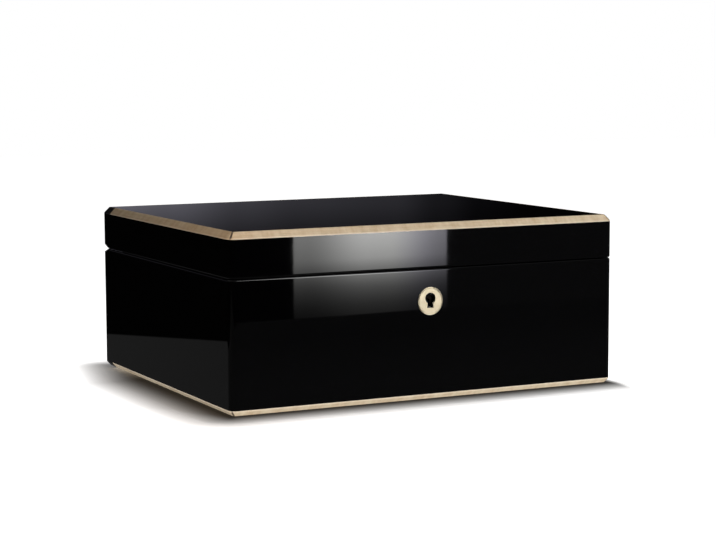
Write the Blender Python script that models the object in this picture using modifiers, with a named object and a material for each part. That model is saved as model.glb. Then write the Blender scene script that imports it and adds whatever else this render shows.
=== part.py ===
"""A desktop humidor with a hinged lid, modelled piece by piece in metres, +Z up, front towards -Y.

The origin is on the surface that the box stands on, under the middle of the box.
"""
import math

import bmesh
import bpy
from mathutils import Matrix, Vector

# Driving sizes of the closed box
box_width = 0.380
box_depth = 0.320
box_height = 0.156
lid_height = 0.0395

# Boards of the case
wall = 0.014
lid_wall = 0.0135
base_board = 0.010
lid_board = 0.012
corner_radius = 0.006
lid_chamfer = 0.0061
base_chamfer = 0.0047
seam_round = 0.0018
rear_bevel_depth = 0.007
rear_bevel_height = 0.004

# Cedar lining
cedar = 0.006
cedar_floor_board = 0.005
lip_height = 0.008
lip_chamfer = 0.001
lid_lining = 0.005
lid_ceiling_board = 0.004
lining_headroom = 0.001

# Clearances shared by every joint of the box
joint_gap = 0.0003
cut_overrun = 0.004
crisp_flat = 0.0002
edge_soft = 0.0004
weld_distance = 0.00001

corner_steps = 3
round_steps = 24
small_steps = 10

# Every object of an earlier run goes first
for old in list(bpy.data.objects):
    bpy.data.objects.remove(old, do_unlink=True)

parts = bpy.data.collections.new("humidor")
cutters = bpy.data.collections.new("humidor_cutters")
bpy.context.scene.collection.children.link(parts)
bpy.context.scene.collection.children.link(cutters)

# Colour, roughness and metallic value of each finish
finishes = {
    "lacquer": ((0.006, 0.006, 0.007), 0.06, 0.0),
    "sycamore": ((0.66, 0.50, 0.32), 0.35, 0.0),
    "cedar": ((0.45, 0.22, 0.12), 0.65, 0.0),
    "felt": ((0.01, 0.01, 0.011), 0.95, 0.0),
    "brass": ((0.80, 0.68, 0.42), 0.30, 1.0),
    "steel": ((0.55, 0.55, 0.55), 0.35, 1.0),
    "black_plastic": ((0.012, 0.012, 0.012), 0.45, 0.0),
    "foam": ((0.12, 0.20, 0.11), 0.9, 0.0),
    "dial_card": ((0.82, 0.80, 0.74), 0.6, 0.0),
    "glass": ((0.9, 0.93, 0.93), 0.03, 0.0),
}

# Turns a plan drawn in X and Y into one that stands in X and Z, or in Y and Z
upright = Matrix.Rotation(math.pi / 2, 4, "X")
sideways = Matrix(((0, 0, 1, 0), (1, 0, 0, 0), (0, 1, 0, 0), (0, 0, 0, 1)))


def own_material(name, finish):
    """A Principled material for one piece, in its finish."""
    colour, roughness, metallic = finishes[finish]
    material = bpy.data.materials.new(name + "_" + finish)
    material.use_nodes = True
    shader = material.node_tree.nodes["Principled BSDF"]
    shader.inputs["Base Color"].default_value = (*colour, 1)
    shader.inputs["Roughness"].default_value = roughness
    shader.inputs["Metallic"].default_value = metallic
    return material


def pivot(name, place, parent=None):
    """An empty on a joint's axis, which the moving pieces hang from."""
    empty = bpy.data.objects.new(name, None)
    parts.objects.link(empty)
    if parent:
        empty.parent = parent
        empty.location = Vector(place) - parent.matrix_world.translation
    else:
        empty.location = place
    bpy.context.view_layer.update()
    return empty


def add_piece(name, bm, finish, place=(0, 0, 0), turn=0, parent=None):
    """Makes a bmesh a named piece, placed in the box's frame and hung from its pivot."""
    bmesh.ops.recalc_face_normals(bm, faces=bm.faces)
    mesh = bpy.data.meshes.new(name)
    bm.to_mesh(mesh)
    bm.free()
    piece = bpy.data.objects.new(name, mesh)
    parts.objects.link(piece)
    mesh.materials.append(own_material(name, finish))
    piece.rotation_euler.z = turn
    if parent:
        piece.parent = parent
        piece.location = Vector(place) - parent.matrix_world.translation
    else:
        piece.location = place
    return piece


def cutter(name, bm, place=(0, 0, 0)):
    """Makes a bmesh a cutter, which is not a piece."""
    bmesh.ops.recalc_face_normals(bm, faces=bm.faces)
    mesh = bpy.data.meshes.new(name)
    bm.to_mesh(mesh)
    bm.free()
    tool = bpy.data.objects.new(name, mesh)
    tool.location = place
    tool.hide_render = True
    tool.display_type = "WIRE"
    cutters.objects.link(tool)
    return tool


def carve(piece, tool, operation="DIFFERENCE"):
    """Cuts a piece with a cutter, or joins the cutter's form to it."""
    boolean = piece.modifiers.new(tool.name, "BOOLEAN")
    boolean.operation = operation
    boolean.object = tool
    boolean.solver = "EXACT"


def box(low, high, soft=0.0):
    """A box between two corners, its edges broken by a small bevel if soft is set."""
    low, high = Vector(low), Vector(high)
    bm = bmesh.new()
    bmesh.ops.create_cube(bm, size=1)
    bmesh.ops.scale(bm, vec=high - low, verts=bm.verts)
    bmesh.ops.translate(bm, vec=(low + high) / 2, verts=bm.verts)
    if soft:
        bmesh.ops.bevel(bm, geom=bm.edges[:], offset=soft, segments=1, profile=0.5, affect="EDGES")
    return bm


def extruded(outline, height, lay=None):
    """A flat outline pulled up into a board, then laid another way round."""
    bm = bmesh.new()
    face = bm.faces.new([bm.verts.new((x, y, 0)) for x, y in outline])
    pulled = bmesh.ops.extrude_face_region(bm, geom=[face])["geom"]
    moved = [item for item in pulled if isinstance(item, bmesh.types.BMVert)]
    bmesh.ops.translate(bm, vec=(0, 0, height), verts=moved)
    if lay:
        bmesh.ops.transform(bm, matrix=lay, verts=bm.verts)
    return bm


def rod(radius, length, axis, steps=small_steps):
    """A round bar along X, Y or Z, from zero to its length."""
    bm = bmesh.new()
    bmesh.ops.create_cone(bm, segments=steps, radius1=radius, radius2=radius, depth=length, cap_ends=True)
    bmesh.ops.translate(bm, vec=(0, 0, length / 2), verts=bm.verts)
    turns = {"X": Matrix.Rotation(math.pi / 2, 4, "Y"), "Y": Matrix.Rotation(-math.pi / 2, 4, "X")}
    if axis in turns:
        bmesh.ops.transform(bm, matrix=turns[axis], verts=bm.verts)
    return bm


def turned(profile, steps=round_steps, lay=None):
    """A turned form: a profile of radius and height, which a Screw modifier spins round Z."""
    mesh = bpy.data.meshes.new("profile")
    links = [(i, i + 1) for i in range(len(profile) - 1)]
    mesh.from_pydata([(radius, 0, height) for radius, height in profile], links, [])
    blank = bpy.data.objects.new("profile", mesh)
    bpy.context.scene.collection.objects.link(blank)
    screw = blank.modifiers.new("turn", "SCREW")
    screw.steps = steps
    screw.render_steps = steps
    screw.use_merge_vertices = True
    screw.merge_threshold = weld_distance
    depsgraph = bpy.context.evaluated_depsgraph_get()
    spun = bpy.data.meshes.new_from_object(blank.evaluated_get(depsgraph))
    bm = bmesh.new()
    bm.from_mesh(spun)
    bmesh.ops.dissolve_degenerate(bm, edges=bm.edges, dist=weld_distance)
    if lay:
        bmesh.ops.transform(bm, matrix=lay, verts=bm.verts)
    bpy.data.objects.remove(blank, do_unlink=True)
    bpy.data.meshes.remove(spun)
    return bm


def repeated(make, places):
    """Several copies of one form in one bmesh, a copy at each place."""
    whole = bmesh.new()
    for place in places:
        bm = make()
        bmesh.ops.translate(bm, vec=place, verts=bm.verts)
        mesh = bpy.data.meshes.new("copy")
        bm.to_mesh(mesh)
        bm.free()
        whole.from_mesh(mesh)
        bpy.data.meshes.remove(mesh)
    return whole


# A mitred frame of four sides: the outer face of a side lies on y=0 and its ends are cut at 45 degrees
side_turns = {"front": 0, "right": math.pi / 2, "back": math.pi, "left": -math.pi / 2}


def mitred_outline(length, thickness, radius):
    """The plan of one side, whose outer corners are half of a round corner of the frame."""
    slack = joint_gap / math.sqrt(2)
    half = length / 2
    right = []
    for step in range(corner_steps + 1) if radius else [corner_steps]:
        angle = math.pi / 4 * step / corner_steps
        slip = slack if step == corner_steps else 0
        right.append((half - radius + radius * math.sin(angle) - slip, radius - radius * math.cos(angle)))
    right.append((half - thickness - slack, thickness))
    return right + [(-x, y) for x, y in reversed(right)]


def frame_side(width, depth, side, low, thickness, height, radius=0.0, top_cut=0.0, under_cut=0.0, steps=1):
    """One side of a mitred frame and where it stands, with its outer top or bottom edge taken off."""
    turn = side_turns[side]
    across = side in ("front", "back")
    bm = extruded(mitred_outline(width if across else depth, thickness, radius), height)
    bmesh.ops.recalc_face_normals(bm, faces=bm.faces)
    for level, cut in ((height, top_cut), (0, under_cut)):
        edges = [
            edge for edge in bm.edges
            if all(abs(v.co.z - level) < joint_gap and v.co.y < thickness / 2 for v in edge.verts)
        ]
        if cut:
            bmesh.ops.bevel(bm, geom=edges, offset=cut, segments=steps, profile=0.5, affect="EDGES")
    reach = (depth if across else width) / 2
    return bm, (reach * math.sin(turn), -reach * math.cos(turn), low), turn


# The felt stands a little proud of the base, and the metalwork a little proud of the front and back
felt_thickness = 0.0012
felt_proud = 0.0005
felt_margin = 0.010
metal_proud = 0.0005

base_low = felt_proud
base_top = base_low + base_board
rim = box_height - lid_height - joint_gap
lid_low = rim + joint_gap
lid_board_low = box_height - lid_board

# Hinge axis: the barrel lies in the bevel along the back edge
barrel_radius = 0.0023
hinge_y = box_depth / 2 + metal_proud - barrel_radius
hinge_z = rim + joint_gap / 2
lid_pivot = pivot("lid_pivot", (0, hinge_y, hinge_z))


# Body: base board, four walls, four sycamore edges and the felt under it
def rounded_slab(width, depth, low, high):
    """A board with its four upright corners rounded."""
    bm = box((-width / 2, -depth / 2, low), (width / 2, depth / 2, high))
    uprights = [e for e in bm.edges if abs(e.verts[0].co.z - e.verts[1].co.z) > joint_gap]
    bmesh.ops.bevel(
        bm, geom=uprights, offset=corner_radius, segments=2 * corner_steps, profile=0.5, affect="EDGES"
    )
    return bm


def field(name, chamfer, low, high):
    """The part of a case board that stands inside the four sycamore edges."""
    inset = chamfer + joint_gap
    half_width, half_depth = box_width / 2 - inset, box_depth / 2 - inset
    return cutter(name, box((-half_width, -half_depth, low), (half_width, half_depth, high)))


base_slab_low = base_low + base_chamfer + joint_gap
base_panel = add_piece("base_panel", rounded_slab(box_width, box_depth, base_slab_low, base_top), "lacquer")
base_field_top = (base_slab_low + base_top) / 2
carve(base_panel, field("base_field", base_chamfer, base_low, base_field_top), "UNION")

felt_half_width = box_width / 2 - base_chamfer - felt_margin
felt_half_depth = box_depth / 2 - base_chamfer - felt_margin
felt_recess = box(
    (-felt_half_width - joint_gap, -felt_half_depth - joint_gap, base_low - cut_overrun),
    (felt_half_width + joint_gap, felt_half_depth + joint_gap, felt_thickness + joint_gap),
)
carve(base_panel, cutter("felt_recess", felt_recess))
add_piece(
    "base_felt",
    box((-felt_half_width, -felt_half_depth, 0), (felt_half_width, felt_half_depth, felt_thickness)),
    "felt",
)


def rear_bevel(name, level, direction):
    """The wedge taken off the back edge, which gives the hinge barrels room: up or down from a level."""
    run, rise = rear_bevel_depth, -direction * rear_bevel_height
    inner = Vector((box_depth / 2 - run, level))
    slope = Vector((run, rise))
    start, end = inner - slope, inner + 2 * slope
    outline = [start, end, Vector((end.x, start.y))]
    length = box_width + 2 * cut_overrun
    return cutter(name, extruded([tuple(p) for p in outline], length, sideways), (-length / 2, 0, 0))


body_bevel = rear_bevel("body_rear_bevel", rim, 1)
lid_bevel = rear_bevel("lid_rear_bevel", lid_low, -1)

walls = {}
wall_height = rim - base_top - joint_gap
for side in side_turns:
    top_cut = 0 if side == "back" else seam_round
    bm, place, turn = frame_side(
        box_width, box_depth, side, base_top + joint_gap, wall, wall_height, corner_radius, top_cut, steps=3
    )
    walls[side] = add_piece("body_" + side, bm, "lacquer", place, turn)
    bm, place, turn = frame_side(
        box_width, box_depth, side, base_low, base_chamfer, base_chamfer, corner_radius,
        under_cut=base_chamfer - crisp_flat,
    )
    add_piece("base_edge_" + side, bm, "sycamore", place, turn)
    if side != "front":
        carve(walls[side], body_bevel)

# Lid: top board, four rails and four sycamore edges
lid_slab_top = box_height - lid_chamfer - joint_gap
lid_slab = rounded_slab(box_width, box_depth, lid_board_low, lid_slab_top)
lid_top = add_piece("lid_top", lid_slab, "lacquer", parent=lid_pivot)
lid_field_low = (lid_board_low + lid_slab_top) / 2
carve(lid_top, field("lid_field", lid_chamfer, lid_field_low, box_height), "UNION")

rails = {}
rail_height = lid_board_low - joint_gap - lid_low
for side in side_turns:
    under_cut = 0 if side == "back" else seam_round
    bm, place, turn = frame_side(
        box_width, box_depth, side, lid_low, lid_wall, rail_height, corner_radius, under_cut=under_cut, steps=3
    )
    rails[side] = add_piece("lid_rail_" + side, bm, "lacquer", place, turn, lid_pivot)
    bm, place, turn = frame_side(
        box_width, box_depth, side, box_height - lid_chamfer, lid_chamfer, lid_chamfer,
        min(corner_radius, lid_chamfer), top_cut=min(corner_radius, lid_chamfer) - crisp_flat,
    )
    add_piece("lid_edge_" + side, bm, "sycamore", place, turn, lid_pivot)
    if side != "front":
        carve(rails[side], lid_bevel)

# Cedar lining of the body: it stands above the rim as the lip that seals the lid
lining_width = box_width - 2 * (wall + joint_gap)
lining_depth = box_depth - 2 * (wall + joint_gap)
lip_top = rim + lip_height
inner_width = lining_width - 2 * cedar
inner_depth = lining_depth - 2 * cedar
for side in side_turns:
    bm, place, turn = frame_side(
        lining_width, lining_depth, side, base_top + joint_gap, cedar, lip_top - base_top - joint_gap,
        top_cut=lip_chamfer,
    )
    add_piece("cedar_" + side, bm, "cedar", place, turn)

floor_low = base_top + joint_gap
floor_top = floor_low + cedar_floor_board
floor_half = Vector((inner_width / 2 - joint_gap, inner_depth / 2 - joint_gap))
add_piece(
    "cedar_floor",
    box((-floor_half.x, -floor_half.y, floor_low), (floor_half.x, floor_half.y, floor_top), edge_soft),
    "cedar",
)

# Cedar lining of the lid: a ceiling board and four strips that stop above the lip
ceiling_width = box_width - 2 * (lid_wall + joint_gap)
ceiling_depth = box_depth - 2 * (lid_wall + joint_gap)
ceiling_low = lid_board_low - joint_gap - lid_ceiling_board
ceiling = add_piece(
    "cedar_ceiling",
    box(
        (-ceiling_width / 2, -ceiling_depth / 2, ceiling_low),
        (ceiling_width / 2, ceiling_depth / 2, ceiling_low + lid_ceiling_board),
    ),
    "cedar", parent=lid_pivot,
)
lid_lining_low = lip_top + lining_headroom
for side in side_turns:
    bm, place, turn = frame_side(
        ceiling_width, ceiling_depth, side, lid_lining_low, lid_lining, ceiling_low - joint_gap - lid_lining_low
    )
    add_piece("lid_lining_" + side, bm, "cedar", place, turn, lid_pivot)

# Holes for the countersunk screws of the hinges and the lock's plates
screw_head_radius = 0.0026
screw_head_height = 0.0011
screw_shank_radius = 0.0014
screw_hole_depth = 0.0093


def screw_hole(direction):
    """The hole for a countersunk screw that goes down (-1) or up (1) from zero."""
    profile = [
        (0, joint_gap),
        (screw_head_radius, joint_gap),
        (screw_head_radius, 0),
        (screw_shank_radius, -screw_head_height),
        (screw_shank_radius, -screw_hole_depth),
        (0, -screw_hole_depth),
    ]
    return turned(profile, small_steps, Matrix.Rotation(math.pi, 4, "X") if direction > 0 else None)


# Hinges: two butt hinges whose leaves are let into the back rims, three knuckles each
hinge_end_margin = 0.070
hinge_spread = box_width / 2 - hinge_end_margin
hinge_length = 0.044
hinge_leaf = 0.0014
hinge_inner_margin = 0.0022
hinge_pin_radius = 0.0010
screw_pitch = 0.015
leaf_front = box_depth / 2 - wall + hinge_inner_margin
knuckle = (hinge_length - 2 * joint_gap) / 3
hinge_screw_y = (leaf_front + box_depth / 2 - rear_bevel_depth) / 2
hinge_screw_places = [
    (hinge_x + step * screw_pitch, hinge_screw_y)
    for hinge_x in (-hinge_spread, hinge_spread)
    for step in (-1, 0, 1)
]
knuckle_places = {
    "body": (-hinge_length / 2, hinge_length / 2 - knuckle),
    "lid": (-knuckle / 2,),
}


def hinge_half(half, side, direction):
    """One leaf with its knuckles; direction is -1 for the body's leaf and 1 for the lid's."""
    centre = hinge_spread if side == "right" else -hinge_spread
    near = hinge_z + direction * joint_gap / 2
    low, high = sorted((near, near + direction * hinge_leaf))
    bm = box(
        (centre - hinge_length / 2, leaf_front, low),
        (centre + hinge_length / 2, hinge_y - barrel_radius - joint_gap, high),
    )
    carrier = lid_pivot if half == "lid" else None
    leaf = add_piece("hinge_" + half + "_leaf_" + side, bm, "brass", parent=carrier)
    for number, start in enumerate(knuckle_places[half]):
        tag = half + "_" + side + "_" + str(number)
        web = box(
            (centre + start, hinge_y - barrel_radius - 2 * joint_gap, low),
            (centre + start + knuckle, hinge_y, high),
        )
        carve(leaf, cutter("web_" + tag, web), "UNION")
        barrel = rod(barrel_radius, knuckle, "X", 2 * small_steps)
        carve(leaf, cutter("barrel_" + tag, barrel, (centre + start, hinge_y, hinge_z)), "UNION")
    bore = rod(hinge_pin_radius + joint_gap, hinge_length + 2 * cut_overrun, "X", 2 * small_steps)
    bore_start = centre - hinge_length / 2 - cut_overrun
    carve(leaf, cutter("bore_" + half + "_" + side, bore, (bore_start, hinge_y, hinge_z)))
    return leaf


leaves = {
    (half, side): hinge_half(half, side, direction)
    for half, direction in (("body", -1), ("lid", 1))
    for side in ("left", "right")
}
for side, x in (("left", -hinge_spread), ("right", hinge_spread)):
    pin = rod(hinge_pin_radius, hinge_length, "X")
    add_piece("hinge_pin_" + side, pin, "brass", (x - hinge_length / 2, hinge_y, hinge_z))

for half, direction, level, target in (("body", -1, rim, walls["back"]), ("lid", 1, lid_low, rails["back"])):
    low, high = sorted((level - direction * cut_overrun, level + direction * (hinge_leaf + joint_gap)))
    mortises = repeated(
        lambda: box(
            (-hinge_length / 2 - joint_gap, leaf_front - joint_gap, low),
            (hinge_length / 2 + joint_gap, box_depth / 2 + cut_overrun, high),
        ),
        [(-hinge_spread, 0, 0), (hinge_spread, 0, 0)],
    )
    carve(target, cutter("hinge_mortises_" + half, mortises))
    places = [(x, y, level) for x, y in hinge_screw_places]
    holes = cutter("hinge_screw_holes_" + half, repeated(lambda: screw_hole(direction), places))
    for holder in (target, leaves[half, "left"], leaves[half, "right"]):
        carve(holder, holes)

# Escutcheon: a turned brass disc let into the front wall, pierced by the keyhole
escutcheon_radius = 0.0125
escutcheon_thickness = 0.0014
escutcheon_rim = 0.0013
escutcheon_dish = 0.0003
key_drop = 0.0287
key_head_radius = 0.0045
key_head_rise = 0.0024
key_neck_half = 0.0022
key_foot_half = 0.0028
key_foot_drop = 0.0061
key_z = rim - key_drop
front_face = -box_depth / 2
escutcheon_front = front_face - metal_proud
to_front = Matrix.Rotation(math.pi / 2, 4, "X")

disc_profile = [
    (0, escutcheon_thickness - escutcheon_dish),
    (escutcheon_radius - escutcheon_rim, escutcheon_thickness - escutcheon_dish),
    (escutcheon_radius - escutcheon_rim, escutcheon_thickness),
    (escutcheon_radius - escutcheon_dish, escutcheon_thickness),
    (escutcheon_radius, escutcheon_thickness - escutcheon_dish),
    (escutcheon_radius, 0),
    (0, 0),
]
escutcheon = add_piece(
    "escutcheon", turned(disc_profile, 2 * round_steps, to_front), "brass",
    (0, escutcheon_front + escutcheon_thickness, key_z),
)


def keyhole_outline():
    """A round head over a shank that flares towards its foot."""
    neck_angle = math.asin(key_neck_half / key_head_radius)
    sweep = 2 * (math.pi - neck_angle)
    points = []
    for step in range(round_steps + 1):
        angle = -math.pi / 2 + neck_angle + sweep * step / round_steps
        points.append((key_head_radius * math.cos(angle), key_head_rise + key_head_radius * math.sin(angle)))
    return points + [(-key_foot_half, -key_foot_drop), (key_foot_half, -key_foot_drop)]


key_cut_length = escutcheon_thickness + 2 * cut_overrun
keyhole = cutter(
    "keyhole", extruded(keyhole_outline(), key_cut_length, upright),
    (0, escutcheon_front - cut_overrun + key_cut_length, key_z),
)
carve(escutcheon, keyhole)
seat_depth = escutcheon_thickness - metal_proud + joint_gap
seat = rod(escutcheon_radius + joint_gap, seat_depth + cut_overrun, "Y", 2 * round_steps)
carve(walls["front"], cutter("escutcheon_seat", seat, (0, front_face - cut_overrun, key_z)))

# Lock: a case let into the front wall from inside, with its top plate flush in the rim
lock_half_width = 0.028
lock_height = 0.040
lock_depth = 0.0084
lock_cap_plate = 0.0012
lock_plate = 0.0014
lock_strip = 0.0020
lock_strip_half = 0.038
lock_strip_front_margin = 0.003
lock_screw_x = 0.033
lock_back = -box_depth / 2 + wall - joint_gap
cap_front = lock_back - lock_cap_plate
case_back = cap_front - joint_gap
case_front = case_back - lock_depth
case_low = rim - lock_height
cavity_front = case_front + lock_plate
strip_low = rim - lock_strip
strip_front = front_face + lock_strip_front_margin

lock_case = add_piece(
    "lock_case",
    box((-lock_half_width, case_front, case_low), (lock_half_width, case_back, rim - lock_strip / 2)),
    "steel",
)
strip = box((-lock_strip_half, strip_front, strip_low), (lock_strip_half, lock_back, rim))
carve(lock_case, cutter("lock_strip", strip), "UNION")
cavity = box(
    (-lock_half_width + lock_plate, cavity_front, case_low + lock_plate),
    (lock_half_width - lock_plate, case_back + joint_gap, strip_low),
)
carve(lock_case, cutter("lock_cavity", cavity))
pocket = box(
    (-lock_half_width - joint_gap, case_front - joint_gap, case_low - joint_gap),
    (lock_half_width + joint_gap, lock_back + cut_overrun, rim + cut_overrun),
)
carve(walls["front"], cutter("lock_pocket", pocket))
strip_seat = box(
    (-lock_strip_half - joint_gap, strip_front - joint_gap, strip_low - joint_gap),
    (lock_strip_half + joint_gap, lock_back + cut_overrun, rim + cut_overrun),
)
carve(walls["front"], cutter("lock_strip_seat", strip_seat))
cap = box((-lock_half_width, cap_front, case_low), (lock_half_width, lock_back, strip_low - joint_gap), edge_soft)
add_piece("lock_cap", cap, "steel")

# Link plate: let into the lid's front rail, with two eyes that drop into the lock
link_plate_thickness = 0.0020
link_eye_x = 0.011
link_eye_thickness = 0.003
link_eye_width = 0.0056
link_eye_wall = 0.0012
link_reach = 0.0075
slot_room = 0.0005
bolt_thickness = 0.0024
prong_height = 0.0026
eye_room = 0.0004
bolt_y = (cavity_front + case_back) / 2
eye_low = strip_low - link_reach
link_back = front_face + lid_wall - joint_gap * 2

link_plate = add_piece(
    "link_plate",
    box((-lock_strip_half, strip_front, lid_low), (lock_strip_half, link_back, lid_low + link_plate_thickness)),
    "brass", parent=lid_pivot,
)
eye_places = [(-link_eye_x, bolt_y, 0), (link_eye_x, bolt_y, 0)]
eyes = repeated(
    lambda: box(
        (-link_eye_thickness / 2, -link_eye_width / 2, eye_low),
        (link_eye_thickness / 2, link_eye_width / 2, lid_low + link_plate_thickness / 2),
    ),
    eye_places,
)
carve(link_plate, cutter("link_eyes", eyes), "UNION")
eye_hole_low = eye_low + link_eye_wall
eye_hole_high = eye_hole_low + prong_height + 2 * eye_room
eye_hole_half = bolt_thickness / 2 + eye_room
eye_holes = repeated(
    lambda: box(
        (-link_eye_thickness, -eye_hole_half, eye_hole_low), (link_eye_thickness, eye_hole_half, eye_hole_high)
    ),
    eye_places,
)
carve(link_plate, cutter("link_eye_holes", eye_holes))
slots = repeated(
    lambda: box(
        (-link_eye_thickness / 2 - slot_room, -link_eye_width / 2 - slot_room, strip_low - joint_gap),
        (link_eye_thickness / 2 + slot_room, link_eye_width / 2 + slot_room, rim + cut_overrun),
    ),
    eye_places,
)
carve(lock_case, cutter("link_slots", slots))
link_seat_top = lid_low + link_plate_thickness + joint_gap
link_seat = box(
    (-lock_strip_half - joint_gap, strip_front - joint_gap, lid_low - cut_overrun),
    (lock_strip_half + joint_gap, front_face + lid_wall + cut_overrun, link_seat_top),
)
carve(rails["front"], cutter("link_seat", link_seat))

lock_screw_y = (strip_front + link_back) / 2
for half, direction, level, holders in (
    ("body", -1, rim, (lock_case, walls["front"])),
    ("lid", 1, lid_low, (link_plate, rails["front"])),
):
    places = [(-lock_screw_x, lock_screw_y, level), (lock_screw_x, lock_screw_y, level)]
    holes = cutter("lock_screw_holes_" + half, repeated(lambda: screw_hole(direction), places))
    for holder in holders:
        carve(holder, holes)

# Lock cam: the key turns it, and its pin drives the bolt sideways
cam_radius = 0.008
cam_hub_radius = 0.0055
cam_thickness = 0.0019
cam_pin_radius = 0.0015
cam_pin_reach = 0.005
cam_half_turn = math.radians(35)
keyway_half = 0.0013
keyway_low = 0.0045
keyway_high = 0.0015
cam_front = cavity_front + joint_gap
cam_back = cam_front + cam_thickness
cam_pivot = pivot("cam_pivot", (0, cam_front, key_z))

cam_profile = [
    (0, case_front - cam_front),
    (cam_hub_radius, case_front - cam_front),
    (cam_hub_radius, 0),
    (cam_radius, 0),
    (cam_radius, cam_thickness),
    (0, cam_thickness),
]
cam = add_piece(
    "lock_cam", turned(cam_profile, round_steps, Matrix.Rotation(-math.pi / 2, 4, "X")), "brass",
    (0, cam_front, key_z), parent=cam_pivot,
)
bolt_front = bolt_y - bolt_thickness / 2
bolt_back = bolt_y + bolt_thickness / 2
pin_length = bolt_back - cam_back + cam_thickness / 2
cam_pin = rod(cam_pin_radius, pin_length, "Y", small_steps + small_steps // 2)
pin_x = -cam_pin_reach * math.sin(cam_half_turn)
pin_z = cam_pin_reach * math.cos(cam_half_turn)
carve(cam, cutter("cam_pin", cam_pin, (pin_x, cam_back - cam_thickness / 2, key_z + pin_z)), "UNION")
keyway = box(
    (-keyway_half, case_front - cut_overrun, key_z - keyway_low),
    (keyway_half, bolt_front, key_z + keyway_high),
)
carve(cam, cutter("keyway", keyway))
hub_bore = rod(cam_hub_radius + joint_gap, 2 * cut_overrun, "Y", round_steps)
carve(lock_case, cutter("cam_hub_bore", hub_bore, (0, cavity_front - 2 * cut_overrun + joint_gap, key_z)))
key_bore_radius = cam_hub_radius + joint_gap
key_bore = rod(key_bore_radius, wall, "Y", round_steps)
carve(walls["front"], cutter("key_bore", key_bore, (0, front_face - cut_overrun, key_z)))

# Lock bolt: a plate with two prongs for the link plate's eyes and a fork for the cam's pin
bolt_travel = 2 * cam_pin_reach * math.sin(cam_half_turn)
prong_rest_gap = 0.001
prong_length = 0.0068
post_width = 0.003
bolt_bar_height = 0.0065
bolt_end = 0.0035
fork_wall = 0.0024
fork_room = 0.0003
bar_high = eye_low - slot_room
bar_low = bar_high - bolt_bar_height
prong_low = eye_hole_low + eye_room
prong_high = prong_low + prong_height
fork_low = key_z + pin_z - cam_pin_radius
fork_top = key_z + cam_pin_reach + cam_pin_radius + fork_room
fork_half = cam_pin_radius + fork_room


def bolt_outline():
    """The bolt seen from the front, going round from the fork: up the right side, along the prongs, down."""
    tip = {x: x - link_eye_thickness / 2 - prong_rest_gap for x in (link_eye_x, -link_eye_x)}
    right, left = tip[link_eye_x] + bolt_end, tip[-link_eye_x] - prong_length - post_width
    points = [(pin_x + fork_half + fork_wall, bar_low), (right, bar_low), (right, bar_high)]
    for x in (link_eye_x, -link_eye_x):
        post = tip[x] - prong_length
        points += [
            (post, bar_high), (post, prong_low), (tip[x], prong_low), (tip[x], prong_high),
            (post - post_width, prong_high), (post - post_width, bar_high),
        ]
    points.pop()
    fork_outer = fork_half + fork_wall
    points += [(left, bar_low), (pin_x - fork_outer, bar_low), (pin_x - fork_outer, fork_low)]
    points += [(pin_x - fork_half, fork_low), (pin_x - fork_half, fork_top)]
    points += [(pin_x + fork_half, fork_top), (pin_x + fork_half, fork_low), (pin_x + fork_outer, fork_low)]
    return points


bolt_pivot = pivot("bolt_slide", (0, bolt_back, bar_low))
add_piece(
    "lock_bolt", extruded(bolt_outline(), bolt_thickness, upright), "brass", (0, bolt_back, 0), parent=bolt_pivot
)

# Ledges under the bolt and pads in front of it, part of the lock case
ledge_inner = fork_half + fork_wall - pin_x + bolt_travel / 2
ledge_height = 0.002
for sign, tag in ((-1, "left"), (1, "right")):
    near, far = sorted((sign * (ledge_inner + slot_room), sign * (lock_half_width - lock_plate / 2)))
    ledge = box((near, cavity_front - lock_plate / 2, bar_low - joint_gap - ledge_height),
                (far, bolt_back, bar_low - joint_gap))
    carve(lock_case, cutter("bolt_ledge_" + tag, ledge), "UNION")
    pad = box((near, cavity_front - lock_plate / 2, bar_low - joint_gap - ledge_height / 2),
              (far, bolt_front - joint_gap, bar_high - joint_gap))
    carve(lock_case, cutter("bolt_pad_" + tag, pad), "UNION")

# Tray: a finger-jointed cedar frame that lifts off two ledges, with a slotted floor and a sliding divider
tray_wall = 0.006
tray_height = 0.038
tray_floor_board = 0.004
tray_side_room = 0.0007
tray_low = 0.066
tray_half_width = inner_width / 2 - tray_side_room
tray_half_depth = inner_depth / 2 - tray_side_room
finger_count = 5
grip_half_width = 0.032
grip_depth = 0.012
tray_pivot = pivot("tray_slide", (0, 0, tray_low))
finger = tray_height / finger_count


def tray_side_outline(half, even, grip):
    """A tray side seen square on: fingers at both ends, and a hollow for the fingers of a hand on top."""
    right = []
    for step in range(finger_count):
        out = (step % 2 == 0) == even
        reach = half if out else half - tray_wall - joint_gap
        shave = joint_gap / 2
        low = step * finger + (shave if out and step else 0) - (0 if out or not step else shave)
        high = (step + 1) * finger - (shave if out and step < finger_count - 1 else 0)
        high += 0 if out or step == finger_count - 1 else shave
        right += [(reach, low), (reach, high)]
    left = [(-x, z) for x, z in reversed(right)]
    hollow = []
    if grip:
        for step in range(small_steps + 1):
            angle = math.pi * step / small_steps
            hollow.append((grip_half_width * math.cos(angle), tray_height - grip_depth * math.sin(angle)))
    return right + hollow + left


for side in side_turns:
    across = side in ("front", "back")
    half = tray_half_width if across else tray_half_depth
    bm = extruded(tray_side_outline(half, across, not across), tray_wall, upright)
    bmesh.ops.translate(bm, vec=(0, tray_wall, 0), verts=bm.verts)
    turn = side_turns[side]
    reach = tray_half_depth if across else tray_half_width
    place = (reach * math.sin(turn), -reach * math.cos(turn), tray_low)
    add_piece("tray_" + side, bm, "cedar", place, turn, tray_pivot)

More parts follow.
